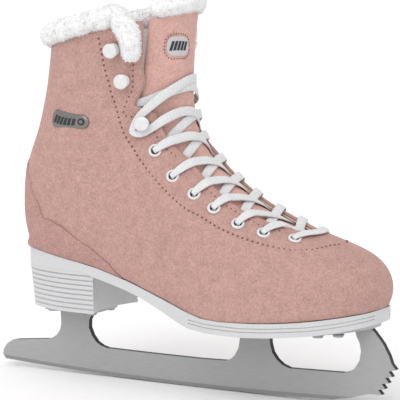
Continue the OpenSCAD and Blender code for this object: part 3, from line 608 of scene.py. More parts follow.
@dataclass
class Upper:
    """The suede shell with its edges, seams, counter, backstay, facing and lining."""

    last: Last
    shell_mm: float = 2.2
    lining_mm: tuple[float, float] = (4.6, 7.3)
    stitch_pitch_mm: float = 3.4
    hole_r_mm: float = 0.62
    eyelet_hole_r_mm: float = 3.0

    def build(self) -> None:
        """Builds and dresses every piece of the upper."""
        self.shell()
        self.lining()
        self.counter()
        self.backstay()
        self.facings()
        self.seams()

    def half(self, side: Side, rows: np.ndarray, cols: int, low: Callable, high: Callable, d: tuple[float, float],
             relief: bool = False) -> tuple[np.ndarray, list]:
        """One half of a sheet that follows the boot.

        Args:
            side: Which half.
            rows: Places s of the rows.
            cols: Points across.
            low: Share t at the lower edge over s.
            high: Share t at the upper edge over s.
            d: Outer and inner depth in millimetres.
            relief: Add the soft unevenness of stretched hide.

        Returns:
            Points and faces.
        """
        share = np.linspace(0, 1, cols)
        lo, hi = low(rows)[:, None], high(rows)[:, None]
        r = side.value * (1 - (lo + (hi - lo) * share[None, :]))
        s = np.repeat(rows[:, None], cols, 1)
        outer, inner = self.last.point(s, r, d[0]), self.last.point(s, r, d[1])
        if relief:
            n = self.last.normal(np.maximum(s, 0.1), np.clip(r, -0.985, 0.985))
            fade = np.clip(s / 1.5, 0, 1)[..., None]
            outer = outer + n * fade * (wobble(outer, 0.045, 3) * 0.35 + wobble(outer, 0.018, 4) * 0.12)[..., None] * MM
            for es, er in self.last.eyelets + self.last.hooks:
                c = self.last.point(es, side.value * er)
                near = np.exp(-((np.linalg.norm(outer - c, axis=-1) / 0.0065) ** 2))[..., None]
                outer = outer - n * near * 0.45 * MM
        return sheet_mesh(outer, inner)

    def wrapped(self, name: str, rows: np.ndarray, cols: int, high: Callable, d: tuple[float, float],
                finish: Finish, replaces: str, relief: bool = False) -> bpy.types.Object:
        """Both halves of a sheet, from the middle line up to a height on each side, welded into one piece.

        Args:
            name: The piece's name.
            rows: Places s of the rows.
            cols: Points across each half.
            high: Share t at the upper edge over s.
            d: Outer and inner depth in millimetres.
            finish: Its finish.
            replaces: The CAD node that it stands for.
            relief: Add the soft unevenness of stretched hide.

        Returns:
            The piece.
        """
        verts, faces = join([self.half(side, rows, cols, np.zeros_like, high, d, relief) for side in Side])
        made = make_object(name, verts, faces, finish, Body.BOOT, replaces=[replaces])
        self.clear_middle(made)
        return made

    def eyelet_holes(self, sides: Iterable[int]) -> list:
        """Centre and axis of each eyelet hole on the given sides."""
        last = self.last
        return [(last.point(s, g * r), last.normal(s, g * r)) for s, r in last.eyelets for g in sides]

    def shell(self) -> None:
        """The suede shell: both halves, joined over the toe, pierced for eyelets."""
        last = self.last
        rows = np.concatenate([[0.0, 0.05, 0.12, 0.2, 0.3, 0.42, 0.56, 0.72, 0.9], np.arange(1.1, 4.8, 0.09), [4.86],
                               np.arange(4.95, 13.9, 0.14), [13.97], np.arange(14.05, 18.96, 0.1), [19.0]])
        made = self.wrapped("suede_upper", rows, 52, lambda s: 1 - np.where(s <= 4.86, 0, last.edge(s)),
                            (0, self.shell_mm), SUEDE, "upper_shell", relief=True)
        pierce(made, self.eyelet_holes((-1, 1)), self.eyelet_hole_r_mm * MM)
        edit(made, outward)

    def clear_middle(self, made: bpy.types.Object) -> None:
        """Welds the two halves over the toe and drops the walls left inside the weld."""

        def work(bm: bmesh.types.BMesh) -> None:
            """Welds, then drops every face that lies on another."""
            bmesh.ops.remove_doubles(bm, verts=bm.verts, dist=2e-5)
            seen: dict[frozenset, list] = {}
            for f in bm.faces:
                seen.setdefault(frozenset(v.index for v in f.verts), []).append(f)
            twice = [f for group in seen.values() if len(group) > 1 for f in group]
            bmesh.ops.delete(bm, geom=twice, context="FACES")
            outward(bm)

        edit(made, work)

    def lining(self) -> None:
        """The fleece lining inside the shell."""
        line = np.array([[4, 0], [4.5, .17], [5.1, .23], [5.9, .26], [6.8, .285], [7.8, .312], [8.9, .34], [12, .34],
                         [15, .363], [16.4, .406], [17.4, .449], [19, .497]])
        rows = np.concatenate([[0, 0.1, 0.25, 0.5, 0.8], np.arange(1.1, 4.0, 0.25), [4.0, 4.1, 4.3],
                               np.arange(4.6, 18.9, 0.3), [19.0]])
        self.wrapped("fleece_lining", rows, 20,
                     lambda s: np.where(s <= 4.01, 1, 0.99 - np.interp(s, line[:, 0], line[:, 1])),
                     self.lining_mm, FLEECE, "lining")

    def counter(self) -> None:
        """The heel counter cover, lapped over the shell."""
        line = np.array([[9.25, .03], [9.7, .17], [10.4, .238], [11.5, .289], [12.5, .3], [14.6, .283], [15.5, .223],
                         [16, .14], [16.3, .06]])
        rows = np.concatenate([np.arange(9.25, 13.95, 0.12), [13.99], np.arange(14.05, 16.3, 0.09), [16.3]])
        self.wrapped("suede_counter_cover", rows, 16, lambda s: np.interp(s, line[:, 0], line[:, 1]), (-1.0, 0.25),
                     SUEDE_HEEL, "counter_cover")

    def backstay(self) -> None:
        """The narrow strip over the back seam."""
        rows = np.arange(16.2, 19.01, 0.1)
        self.wrapped("suede_backstay", rows, 5, lambda s: np.full_like(s, 0.035), (-1.1, 0.2), SUEDE_HEEL, "backstay")

    def facings(self) -> None:
        """The cream facing under each eyelet row; its raw edge shows past the suede's."""
        last = self.last
        rows = np.concatenate([[5.05], np.arange(5.2, 18.9, 0.1)])
        for side in Side:
            verts, faces = self.half(side, rows, 14, lambda s: 1.012 - last.stay(s), lambda s: 1.006 - last.edge(s),
                                     (2.25, 3.5))
            name = f"facing_{side.name.lower()}"
            made = make_object("leather_" + name, verts, faces, FACING, Body.BOOT, replaces=[name])
            pierce(made, self.eyelet_holes((side.value,)), self.eyelet_hole_r_mm * MM)
            edit(made, outward)

    def dots(self, name: str, path: np.ndarray, finish: Finish, radius_mm: float) -> None:
        """Sets needle holes along a path on the surface.

        Args:
            name: The piece's name.
            path: Rows of s and r.
            finish: Finish of the dots.
            radius_mm: Radius of a dot.
        """
        last = self.last
        fine = catmull(path, 40)
        p = last.point(fine[:, 0], fine[:, 1])
        run = np.concatenate([[0], np.cumsum(np.linalg.norm(np.diff(p, axis=0), axis=1))])
        at = np.arange(0.5 * self.stitch_pitch_mm * MM, run[-1], self.stitch_pitch_mm * MM)
        s, r = np.interp(at, run, fine[:, 0]), np.interp(at, run, fine[:, 1])
        c, n = last.point(s, r, -0.05), last.normal(s, r)
        t = unit(np.stack([np.gradient(c[:, k]) for k in range(3)], -1))
        b = np.cross(n, t)
        parts = []
        angle = np.linspace(0, 2 * math.pi, 10, endpoint=False)
        for k in range(len(at)):
            rows = []
            for share, height in ((1.0, -0.2), (0.95, 0.14), (0.6, 0.26), (0.05, 0.3)):
                rows.append(c[k] + n[k] * height * MM + radius_mm * MM * share * (
                    np.cos(angle)[:, None] * t[k] + np.sin(angle)[:, None] * b[k]))
            parts.append((np.vstack(rows), capped(4, 10)))
        verts, faces = join(parts)
        made = make_object(name, verts, faces, finish, Body.BOOT)
        edit(made, outward)

    def seams(self) -> None:
        """Rows of needle holes: behind the eyelets, along the flap edge, and round the counter."""
        last = self.last
        stay = np.array([[4.05, 0.03]] + last.stay_line[:-1] + [[18.8, 0.491]])
        s = np.arange(5.6, 15.0, 0.7)
        low_edge = np.stack([s, last.edge(s) + 0.03 + 0.012 * (s < 7)], -1)
        top_edge = np.array([[14.4, .31], [15.0, .345], [15.5, .335], [15.9, .318], [16.7, .328], [17.4, .335]])
        counter = np.array([[9.35, .98], [9.7, .845], [10.4, .778], [11.5, .728], [12.5, .715], [13.6, .717],
                            [14.6, .733], [15.2, .763], [15.6, .8]])
        for side in Side:
            flip = np.array([1, side.value])
            tag = side.name.lower()
            self.dots(f"needle_holes_stay_{tag}", stay * flip, NEEDLE_HOLE, self.hole_r_mm)
            self.dots(f"needle_holes_edge_{tag}", low_edge * flip, NEEDLE_HOLE, self.hole_r_mm * 0.85)
            self.dots(f"needle_holes_top_{tag}", top_edge * flip, NEEDLE_HOLE, self.hole_r_mm * 0.85)
            for k, gap in enumerate((0.045, 0.075)):
                self.dots(f"needle_holes_counter_{k + 1}_{tag}", (counter + [0, gap]) * flip, NEEDLE_HOLE,
                          self.hole_r_mm * 0.6)


# ---------------------------------------------------------------- plush


@dataclass
class Plush:
    """Pile fabric: a lumpy roll covered in short fibres."""

    last: Last
    pile_mm: float = 2.1
    fibre_mm: float = 0.3
    per_mm2: float = 1.9
    seed: int = 11

    def roll(self, path: list[tuple[np.ndarray, float, float]], steps: int, around: int, lump_mm: float
             ) -> tuple[np.ndarray, np.ndarray]:
        """A closed roll along a path.

        Args:
            path: Centre in metres and the two radii in millimetres of each stop.
            steps: Divisions between stops.
            around: Points round the roll.
            lump_mm: Height of the lumps.

        Returns:
            Grid of points and grid of outward directions.
        """
        stops = catmull([[*c, a, b] for c, a, b in path], steps)
        c, radii = stops[:, :3], stops[:, 3:5]
        t = unit(np.gradient(c, axis=0))
        up = np.array([0, 0, 1.0])
        side = np.cross(t, up)
        weak = np.linalg.norm(side, axis=1) < 0.45
        hold = np.interp(np.arange(len(c)), np.where(~weak)[0], np.arange(len(np.where(~weak)[0])))
        side = side[np.where(~weak)[0][np.round(hold).astype(int)]]
        side = unit(side - t * np.sum(side * t, 1, keepdims=True))
        rise = np.cross(side, t)
        angle = np.linspace(0, 2 * math.pi, around, endpoint=False)
        end = np.clip(np.minimum(np.arange(len(c)), np.arange(len(c))[::-1]) / steps, 0, 1)
        cap = np.sqrt(1 - (1 - end) ** 2)[:, None]
        out = (side[:, None] * np.cos(angle)[None, :, None] * radii[:, None, :1]
               + rise[:, None] * np.sin(angle)[None, :, None] * radii[:, None, 1:]) * cap[..., None]
        grid = c[:, None] + out * MM
        ends = np.where(np.arange(len(c)) < len(c) / 2, -1, 1) * (1 - cap[:, 0])
        away = unit(out + t[:, None] * ends[:, None, None])
        lumps = wobble(grid, 0.016, self.seed) * lump_mm + wobble(grid, 0.007, self.seed + 1) * lump_mm * 0.45
        return grid + away * (lumps * cap)[..., None] * MM, away

    def fibres(self, grid: np.ndarray, away: np.ndarray) -> tuple[np.ndarray, list]:
        """Short tapered fibres standing on a grid.

        Args:
            grid: Points of the roll, closed round its columns.
            away: Outward directions.

        Returns:
            Points and faces of all fibres.
        """
        rng = np.random.default_rng(self.seed)
        cols = grid.shape[1]
        a = grid[:-1]
        du = np.linalg.norm(grid[1:] - a, axis=-1)
        dv = np.linalg.norm(np.roll(grid, -1, 1)[:-1] - a, axis=-1)
        area = (du * dv).ravel() / MM**2
        count = int(area.sum() * self.per_mm2)
        pick = rng.choice(len(area), size=count, p=area / area.sum())
        i, j = pick // cols, pick % cols
        fu, fv = rng.random(count)[:, None], rng.random(count)[:, None]
        j2 = (j + 1) % cols
        base = ((grid[i, j] * (1 - fu) + grid[i + 1, j] * fu) * (1 - fv)
                + (grid[i, j2] * (1 - fu) + grid[i + 1, j2] * fu) * fv)
        n = unit(away[i, j])
        clump = np.stack([wobble(base, 0.006, self.seed + 3 + k) for k in range(3)], -1)
        lean = clump * 0.35 + rng.normal(size=(count, 3)) * 0.3 + np.array([0, 0, -0.15])
        d1 = unit(n + lean * 0.6)
        d2 = unit(n * 0.75 + lean * 1.2)
        size = self.pile_mm * MM * rng.uniform(0.6, 1.1, (count, 1))
        wide = unit(np.cross(d1, rng.normal(size=(count, 3)))) * self.fibre_mm * MM
        third = np.cross(d1, wide)
        base = base - n * 0.4 * MM
        feet = [base + wide, base - wide * 0.5 + third * 0.87, base - wide * 0.5 - third * 0.87]
        verts = np.stack([*feet, base + unit(d1 + d2) * size], 1).reshape(-1, 3)
        shape = ((0, 2, 1), (0, 1, 3), (1, 2, 3), (2, 0, 3))
        faces = [tuple(4 * k + v for v in f) for k in range(count) for f in shape]
        return verts, faces

    def piece(self, name: str, path: list, body: Body, replaces: str, steps: int = 6, around: int = 28) -> None:
        """Builds one plush roll with its pile.

        Args:
            name: The piece's name.
            path: Stops of the roll.
            body: The body it rides on.
            replaces: The CAD node it stands for.
            steps: Divisions between stops.
            around: Points round the roll.
        """
        grid, away = self.roll(path, steps, around, 0.55)
        rows = len(grid)
        verts, faces = grid.reshape(-1, 3), grid_faces(rows, around, closed=True)
        made = make_object(name, verts, faces, PLUSH, body, replaces=[replaces])
        weld(made, 1e-5)
        verts, faces = self.fibres(grid, away)
        make_object(name + "_pile", verts, faces, PLUSH, body, smooth=False)
        log.info("%s carries %d fibres", name, len(faces) // 4)

    def build(self, tongue_path: list) -> None:
        """The collar roll with its front tufts, and the tongue's roll."""
        p = self.last.point
        lift = np.array([0, 0, 7.4 * MM])

        def tuft(g: int) -> list:
            """Stops of the tuft that hangs beside the flap's front edge on side g."""
            return [(p(17.1, g * .342, -3.4), 4.0, 4.6), (p(17.5, g * .345, -3.4), 5.6, 5.8),
                    (p(18.2, g * .355, -2.9), 6.4, 6.6), (p(18.75, g * .375, -1.5), 6.6, 6.8)]

        ring = [(p(19, g * r, 1.0) + lift, 7.2, 6.7) for g, rs in
                ((-1, (.42, .5, .58, .67, .77, .87, .95)), (1, (.9999, .95, .87, .77, .67, .58, .5, .42))) for r in rs]
        path = tuft(-1) + ring + tuft(1)[::-1]
        self.piece("plush_collar", path, Body.BOOT, "collar_plush")
        self.piece("plush_tongue", tongue_path, Body.TONGUE_TOP, "tongue_plush")


# ---------------------------------------------------------------- tongue


@dataclass
class Tongue:
    """The padded tongue, one piece from under the vamp to the plush, with its label."""

    last: Last
    depth_mm: float = 5.1
    thick_mm: float = 5.2
    hinge_z: float = 0.2054
    width_line: list = field(default_factory=lambda: [
        [4.5, .12], [5.1, .2], [5.9, .235], [6.8, .262], [7.8, .29], [8.9, .315], [12, .315], [13.5, .3], [15, .28],
        [16, .274], [19.4, .27]])

    def half_width(self, s: np.ndarray) -> np.ndarray:
        """Half width of the tongue as r."""
        t = np.array(self.width_line)
        return np.interp(s, t[:, 0], t[:, 1])

    def build(self) -> list:
        """Builds the tongue and its label.

        Returns:
            Stops of the plush roll on the tongue's top edge.
        """
        last = self.last
        rows, cols = np.linspace(4.5, 19.0, 120), 33
        u = np.linspace(-1, 1, cols)
        s = np.repeat(rows[:, None], cols, 1)
        r = self.half_width(s) * u[None, :]
        crown = 0.9 * (1 - u**4)[None, :] * np.clip((s - 13.5) / 1.5, 0, 1)
        crease = 0.35 * np.sin(s * 7.3 + 1.5 * u[None, :] ** 2) * np.clip((14.8 - s) / 2, 0, 1) * (1 - u[None, :] ** 2)
        outer = last.point(s, r, self.depth_mm + 0.35 - crown + crease)
        inner = last.point(s, r, self.depth_mm + self.thick_mm)
        n = last.normal(s, r)
        outer = outer + n * (wobble(outer, 0.03, 21) * 0.3 * MM)[..., None]
        verts, faces = sheet_mesh(outer, inner, 0.25)
        mesh = make_object("suede_tongue", verts, faces, SUEDE_TONGUE, None,
                           replaces=["tongue_lower", "tongue_lower_pad", "tongue_upper", "tongue_upper_pad"])
        edit(mesh, outward)
        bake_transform(mesh)
        self.label()
        lift = np.array([0, 0, 7.0 * MM])
        return [(last.point(19, -v * 0.27, self.depth_mm + 1.6) + lift, 5.4 if abs(v) > 0.9 else 6.6,
                 5.0 if abs(v) > 0.9 else 6.4) for v in np.linspace(1, -1, 11)]

    def label(self) -> None:
        """A rounded woven label with a row of plain slanted bars, and the stitches round it."""
        decal = Decal(self.last, 16.98, -0.11)
        decal.plate("label_patch", rounded(17, 12, 5.0), (self.depth_mm - 0.9, self.depth_mm - 1.5), LABEL,
                    Body.TONGUE_TOP, ["tongue_label"], "label_satin")
        bars = [slanted(x, 0, 1.9, 5.6, 0.9) for x in (-5.2, -2.6, 0, 2.6, 5.2)]
        decal.plates("label_bars", bars, (self.depth_mm - 1.5, self.depth_mm - 1.75), BLACK_PAINT, Body.TONGUE_TOP,
                     "label_satin")
        ring = rounded(20, 15, 6.5)
        decal.dots("label_needle_holes", ring, 2.0, 0.42, self.depth_mm - 1.0, NEEDLE_HOLE, Body.TONGUE_TOP)


def rounded(width: float, height: float, corner: float, steps: int = 8) -> np.ndarray:
    """Outline of a rectangle with round corners, millimetres, centred."""
    pts = []
    for cx, cy, a0 in ((1, 1, 0), (-1, 1, 90), (-1, -1, 180), (1, -1, 270)):
        for k in range(steps + 1):
            a = math.radians(a0 + 90 * k / steps)
            pts.append((cx * (width / 2 - corner) + corner * math.cos(a),
                        cy * (height / 2 - corner) + corner * math.sin(a)))
    return np.array(pts)


def slanted(x: float, y: float, width: float, height: float, lean: float) -> np.ndarray:
    """Outline of a leaning bar, millimetres."""
    return np.array([(x - width / 2 - lean, y - height / 2), (x + width / 2 - lean, y - height / 2),
                     (x + width / 2 + lean, y + height / 2), (x - width / 2 + lean, y + height / 2)])


@dataclass
class Decal:
    """Flat shapes laid on the boot's surface round one place."""

    last: Last
    s: float
    r: float
    turn_deg: float = 0.0

    def lay(self, flat: np.ndarray, d: float) -> np.ndarray:
        """Lays outline points on the surface at depth d."""
        a = math.radians(self.turn_deg)
        x = flat[..., 0] * math.cos(a) - flat[..., 1] * math.sin(a)
        y = flat[..., 0] * math.sin(a) + flat[..., 1] * math.cos(a)
        return self.last.local(self.s, self.r, x, y, d)

    def solid(self, outline: np.ndarray, d: tuple[float, float]) -> tuple[np.ndarray, list]:
        """A thin plate with a softened top edge, following the surface."""
        c = outline.mean(0)
        small = 1 - 0.35 / max(np.abs(outline - c).max(), 0.6)
        rings = ([(1.0, d[0]), (1.0, d[0] + (d[1] - d[0]) * 0.7), (small, d[1])]
                 + [(small * f, d[1]) for f in (0.75, 0.5, 0.25, 0.02)])
        rows = [self.lay(c + (outline - c) * f, depth) for f, depth in rings]
        return np.vstack(rows), capped(len(rings), len(outline))

    def plate(self, name: str, outline: np.ndarray, d: tuple[float, float], finish: Finish, body: Body,
              replaces: list, slot: str) -> bpy.types.Object:
        """Builds one plate that stands for CAD nodes."""
        verts, faces = self.solid(outline, d)
        made = make_object(name, verts, faces, finish, body, replaces=replaces)
        edit(made, outward)
        return made

    def plates(self, name: str, outlines: list, d: tuple[float, float], finish: Finish, body: Body,
               slot: str) -> None:
        """Builds several small plates as one piece."""
        verts, faces = join([self.solid(o, d) for o in outlines])
        made = make_object(name, verts, faces, finish, body, smooth=False)
        edit(made, outward)

    def dots(self, name: str, outline: np.ndarray, pitch: float, radius: float, d: float, finish: Finish,
             body: Body) -> None:
        """Round needle holes along a closed outline."""
        loop = np.vstack([outline, outline[:1]])
        run = np.concatenate([[0], np.cumsum(np.linalg.norm(np.diff(loop, axis=0), axis=1))])
        at = np.arange(0, run[-1] - pitch / 2, pitch)
        centre = np.stack([np.interp(at, run, loop[:, 0]), np.interp(at, run, loop[:, 1])], -1)
        angle = np.linspace(0, 2 * math.pi, 8, endpoint=False)
        ring = np.stack([np.cos(angle), np.sin(angle)], -1) * radius
        parts = [(np.vstack([self.lay(c + ring * f, d - h) for f, h in ((1, 0), (0.9, 0.25), (0.05, 0.35))]),
                  capped(3, 8)) for c in centre]
        verts, faces = join(parts)
        edit(make_object(name, verts, faces, finish, body), outward)


# ---------------------------------------------------------------- fittings


@dataclass
class Fittings:
    """Eyelets, hooks and the ankle badge."""

    last: Last
    eyelet: tuple = ((2.5, -3.8), (2.5, .2), (2.65, .75), (3.0, 1.08), (3.4, 1.12), (3.85, .85), (4.2, .35),
                     (4.3, -.1), (2.9, -.1), (2.9, -3.8), (2.5, -3.8))
    hook: tuple = ((0.01, -4.0), (1.6, -4.0), (1.6, .1), (4.1, .1), (4.2, .6), (3.9, 1.05), (3.2, 1.3), (2.5, 1.9),
                   (2.3, 3.2), (2.4, 4.7), (3.0, 5.5), (4.2, 6.0), (4.66, 6.35), (4.7, 6.75), (4.4, 7.15), (3.6, 7.4),
                   (2.2, 7.52), (0.01, 7.56))

    def build(self) -> None:
        """Builds every fitting on both sides."""
        for side in Side:
            tag = side.name.lower()
            for name, places, profile in (("eyelets", self.last.eyelets, self.eyelet),
                                          ("hooks", self.last.hooks, self.hook)):
                parts = [lathe(profile, self.last.point(s, side.value * r), self.last.normal(s, side.value * r))
                         for s, r in places]
                verts, faces = join(parts)
                made = make_object(f"enamel_{name}_{tag}", verts, faces, ENAMEL, Body.BOOT,
                                   replaces=[f"{name}_{tag}"])
                weld(made, 1e-6)
        self.badge()

    def badge(self) -> None:
        """A round-ended metal plate with a dark recess of slanted bars and a small ring."""
        decal, shift = Decal(self.last, 16.18, -0.56, -1.5), np.array([-1.8, 0])
        decal.plate("badge_plate", rounded(32, 9.5, 4.74) + shift, (-0.05, -1.15), BADGE, Body.BOOT, ["ankle_badge"],
                    "badge_metal")
        bars = [slanted(x, 0, 2.2, 4.6, 0.7) for x in (-13.0, -9.6, -6.2, -2.8, 0.6, 4.0)]
        bars.append(rounded(4.8, 4.8, 2.39) + [9.4, 0])
        decal.plates("badge_bars", bars, (-1.15, -1.4), BLACK_PAINT, Body.BOOT, "badge_metal")
        decal.plates("badge_dot", [rounded(2.4, 2.4, 1.19) + [9.4, 0]], (-1.4, -1.6), BADGE, Body.BOOT, "badge_metal")


# ---------------------------------------------------------------- lace


@dataclass
class Lace:
    """The flat lace along its real route; each stop is s, r, depth and width, as CAD has them."""

    last: Last
    width_mm: float = 6.0
    thick_mm: float = 1.1
    steps: int = 6

    def stop(self, s: float, r: float, d: float, w: float) -> list:
        """A stop in a hole or round a neck, held to the surface's own normal instead of the depth direction."""
        straight = self.last.point(s, r) - d * MM * self.last.normal(s, r)
        return [s, r, d, w, *(straight - self.last.point(s, r, d))]

    def hole(self, g: int, i: int, d: float, w: float) -> list:
        """A stop on the axis of eyelet i on side g."""
        s, r = self.last.eyelets[i]
        return self.stop(s, g * r, d, w)

    def strand(self, g: int, i: int, low: bool) -> list:
        """Stops of one strand from eyelet i on top of its own flap to eyelet i + 1 under the other.

        Args:
            g: Side it starts from, -1 or 1.
            i: Index of the eyelet it leaves.
            low: It passes under the strand that it crosses.

        Returns:
            The stops.
        """
        a, b = self.last.eyelets[i], self.last.eyelets[i + 1]
        ra, rb = g * a[1], -g * b[1]
        fe = (a[1] - float(self.last.edge(a[0] - 0.3))) / (a[1] + b[1])
        fo = 1 - (b[1] - float(self.last.edge(b[0] + 0.3))) / (a[1] + b[1])

        def at(f: float, d: float, w: float) -> list:
            """A stop at share f of the way across."""
            return [a[0] + (b[0] - a[0]) * f, ra + (rb - ra) * f, d, w]

        w = self.width_mm
        return [self.hole(g, i, 1.4, 3.5), self.hole(g, i, -1.3, 3.8), at(fe * .45, -2, 5.4), at(fe, -1.5, w),
                at(fe + .1, 1.6 if low else .6, w), at(.5, 4.3 if low else 2.9, w), at(fo - .1, 4.2, w),
                at(fo, 4.5, 5.4), at(fo + (1 - fo) * .5, 4.6, 4.8), self.hole(-g, i + 1, 4.2, 3.6)]

    def turn(self, g: int) -> list:
        """Stops round a hook's neck: in below it, out above it."""
        s, r = self.last.hooks[2]
        return [self.stop(s + a, g * (r + b), d, w) for a, b, d, w in (
            (-.9, -.03, -1.7, 5), (-.75, .012, -2.6, 4.4), (-.05, .036, -3.6, 4), (.75, .016, -3, 4.4),
            (1, -.025, -1.9, 5.4))]

    def route(self) -> np.ndarray:
        """All stops from one tucked end to the other: s, r, depth, width and the lean in metres."""
        down = [p for i in range(6) for p in self.strand(-1 if i % 2 == 0 else 1, i, i % 2 == 1)]
        up = [p for i in range(5, -1, -1) for p in self.strand(-1 if i % 2 else 1, i, i % 2 == 0)[::-1]]
        stops = ([[15.6, -.33, 5.1, 3.4], [15.25, -.305, 4.4, 5], [15, -.27, 3.75, 5.6], [14.75, -.22, 3.4, 6],
                  [14.2, -.05, 3.6, 6], [14.1, .1, 3.3, 6], [14.05, .2, -1.2, 6]] + self.turn(1)[::-1]
                 + [[12.2, .19, -1.2, 6], [11.9, .1, 3, 6], [11.6, -.03, 4.3, 6], [11.2, -.16, 4.3, 6],
                    [11.05, -.22, 4.6, 5], self.hole(-1, 0, 4.2, 3.6)] + down
                 + [self.hole(-1, 6, 1.4, 3.5), self.hole(-1, 6, -1.3, 3.8), [5, -.09, -1.9, 5.4], [4.86, -.03, -1.6, 6],
                    [4.86, .03, -1.6, 6], [5, .09, -1.9, 5.4], self.hole(1, 6, -1.3, 3.8), self.hole(1, 6, 1.4, 3.5)] + up
                 + [self.hole(1, 0, 4.2, 3.6), [11.1, .21, 4.6, 5], [11.35, .14, 4.1, 6], [11.8, .02, 3, 6],
                    [12.2, -.1, 2, 6], [12.3, -.2, -1.3, 6]] + self.turn(-1)
                 + [[14.35, -.2, -1.3, 6], [14.5, -.12, 1.4, 6], [14.75, 0, 2.9, 6], [15, .16, 3.2, 6],
                    [15.15, .25, 3.7, 5.6], [15.35, .3, 4.4, 5], [15.7, .33, 5.1, 3.4]])
        return np.array([list(p) + [0.0] * (7 - len(p)) for p in stops])

    def build(self) -> None:
        """Sweeps the flat section along the route."""
        stops = catmull(self.route(), self.steps)
        centre = self.last.point(stops[:, 0], stops[:, 1], stops[:, 2]) + stops[:, 4:7]
        n = self.last.normal(stops[:, 0], stops[:, 1])
        count = np.arange(len(centre))
        reach = 3 * self.steps // 2
        run = centre[np.minimum(count + reach, len(centre) - 1)] - centre[np.maximum(count - reach, 0)]
        across = unit(np.cross(n, run))
        t = unit(centre[np.minimum(count + 1, len(centre) - 1)] - centre[np.maximum(count - 1, 0)])
        across = unit(across - t * np.sum(across * t, 1, keepdims=True))
        thick = np.cross(t, across)
        section = [(1, 0), (.94, .7), (.6, 1), (0, 1.08), (-.6, 1), (-.94, .7), (-1, 0), (-.94, -.7), (-.6, -1),
                   (0, -1.08), (.6, -1), (.94, -.7)]
        half_w = stops[:, 3:4] / 2 * MM
        half_t = self.thick_mm / 2 * MM
        grid = np.stack([centre + across * half_w * a + thick * half_t * b for a, b in section], 1)
        verts, faces = grid.reshape(-1, 3), grid_faces(len(grid), len(section), closed=True)
        m = len(section)
        faces += [tuple(range(m))[::-1], tuple((len(grid) - 1) * m + k for k in range(m))]
        made = make_object("lace_flat", verts, faces, LACE, Body.BOOT, replaces=["lace"])
        edit(made, outward)


# ---------------------------------------------------------------- steel, sole and inner parts


@dataclass
class Chassis:
    """The CAD nodes whose shape is already right: they keep their meshes and get their finishes."""

    finishes: dict = field(default_factory=lambda: {
        "blade_runner": BLADE, "heel_plate": PLATE, "sole_plate": PLATE, "heel_plate_screws": PLATE,
        "sole_plate_screws": PLATE, "sole_unit": SOLE, "shank": PLATE, "insole_board": BOARD, "footbed": FOAM,
        "heel_stiffener": STIFFENER, "toe_puff": STIFFENER, "ankle_pad_lateral": FOAM, "ankle_pad_medial": FOAM,
        "lace_tips": TIP})
    ground_mm: float = 2.4
    rocker_m: float = 2.6

    def build(self) -> None:
        """Gives each kept node its finish, and the blade its ground strip and painted shade on its edge faces."""
        for name, finish in self.finishes.items():
            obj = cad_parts[name]
            for k in range(len(obj.material_slots)):
                obj.material_slots[k].material = finish.build()
            log.info("%s wears %s", name, finish.name)
        self.blade_edges()

    def blade_edges(self) -> None:
        """Darkens the ground strip over the ice edge and paints shade on the edge faces, in the blade's own shader."""
        tree = BLADE.build().node_tree
        shader = tree.nodes["Principled BSDF"]
        where = add_node(tree, "ShaderNodeNewGeometry")
        place = add_node(tree, "ShaderNodeSeparateXYZ", links={0: where.outputs["Position"]})
        facing = add_node(tree, "ShaderNodeSeparateXYZ", links={0: where.outputs["Normal"]})

        def maths(kind: str, a: bpy.types.NodeSocket, b: bpy.types.NodeSocket | float) -> bpy.types.NodeSocket:
            """The result of one sum on the shader's numbers."""
            fixed, linked = ({}, {0: a, 1: b}) if isinstance(b, bpy.types.NodeSocket) else ({1: b}, {0: a})
            return add_node(tree, "ShaderNodeMath", {"operation": kind, **fixed}, linked).outputs[0]

        side = maths("ABSOLUTE", facing.outputs["Y"], 0.0)
        # Painted shade: the edge faces, every face not turned to either flat side, go near-black.
        edge_shade = maths("LESS_THAN", side, 0.5)
        sag = maths("MULTIPLY", maths("POWER", maths("ABSOLUTE", place.outputs["X"], 0.0), 2.0), 0.5 / self.rocker_m)
        strip = maths("LESS_THAN", maths("SUBTRACT", place.outputs["Z"], sag), self.ground_mm * MM)
        colour = shader.inputs["Base Color"].links[0].from_socket
        # The ground strip is the steel's own ground band; the near-black tone on the edge faces is painted shade.
        for mask, tone in ((strip, "8b8b8c"), (edge_shade, "2c2c2d")):
            mix = add_node(tree, "ShaderNodeMix", {"data_type": "RGBA", 7: linear(tone)},
                           {0: mask, 6: colour})
            colour = mix.outputs[2]
        tree.links.new(colour, shader.inputs["Base Color"])


# ---------------------------------------------------------------- studio


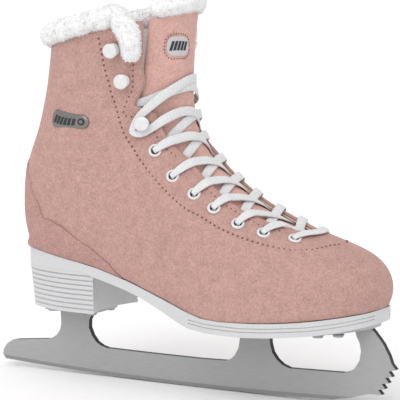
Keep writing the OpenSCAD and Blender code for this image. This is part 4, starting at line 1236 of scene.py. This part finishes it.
@dataclass
class Studio:
    """Floor, lights and camera."""

    azimuth_deg: float = 30.0
    elevation_deg: float = 7.0
    distance: float = 1.4
    target: tuple = (0.007, 0.0, 0.12036)
    lens_mm: float = 198.45
    room: float = 0.9
    key: float = 1.0

    def build(self) -> None:
        """Builds the studio."""
        self.floor()
        self.lights()
        self.camera()

    def direction(self, azimuth: float, elevation: float) -> np.ndarray:
        """Unit vector towards a place round the object, degrees."""
        a, e = math.radians(azimuth), math.radians(elevation)
        return np.array([math.sin(a) * math.cos(e), -math.cos(a) * math.cos(e), math.sin(e)])

    def floor(self) -> None:
        """A plain pale floor just under the blade."""
        mesh = bpy.data.meshes.new("floor")
        mesh.from_pydata([(-8, -8, -0.0004), (8, -8, -0.0004), (8, 8, -0.0004), (-8, 8, -0.0004)], [], [(0, 1, 2, 3)])
        plane = bpy.data.objects.new("floor", mesh)
        bpy.context.scene.collection.objects.link(plane)
        plane.data.materials.append(
            Finish("floor_paper", "ffffff", 0.9, specular=0.1, second="fdfdfd", grain_mm=5).build())

    def lights(self) -> None:
        """One broad soft light from the front, in a bright room, shown without a film curve."""
        world = bpy.data.worlds.new("room")
        world.use_nodes = True
        world.node_tree.nodes["Background"].inputs[0].default_value = (1, 1, 1, 1)
        world.node_tree.nodes["Background"].inputs[1].default_value = self.room
        bpy.context.scene.world = world
        data = bpy.data.lights.new("key", "SUN")
        data.energy, data.angle = self.key, math.radians(50)
        lamp = bpy.data.objects.new("key", data)
        bpy.context.scene.collection.objects.link(lamp)
        lamp.rotation_mode = "QUATERNION"
        lamp.rotation_quaternion = Vector(self.direction(5, 42)).to_track_quat("Z", "Y")
        bpy.context.scene.view_settings.view_transform = "Standard"

    def camera(self) -> None:
        """A long lens from the lateral front."""
        data = bpy.data.cameras.new("camera")
        data.lens, data.sensor_width = self.lens_mm, 36
        data.clip_start, data.clip_end = 0.05, 50
        cam = bpy.data.objects.new("camera", data)
        bpy.context.scene.collection.objects.link(cam)
        away = self.direction(self.azimuth_deg, self.elevation_deg)
        cam.location = Vector(self.target) + Vector(away * self.distance)
        cam.rotation_mode = "QUATERNION"
        cam.rotation_quaternion = Vector(away).to_track_quat("Z", "Y")
        bpy.context.scene.camera = cam


def main() -> None:
    """Builds the skate piece by piece, then the studio."""
    logging.basicConfig(level=logging.INFO, format="%(name)s: %(message)s")
    last = Last()
    Studio().build()
    Lace(last).build()
    Upper(last).build()
    plush_path = Tongue(last).build()
    Plush(last).build(plush_path)
    Fittings(last).build()
    Chassis().build()
    bpy.context.view_layer.update()


if __name__ == "__main__":
    main()
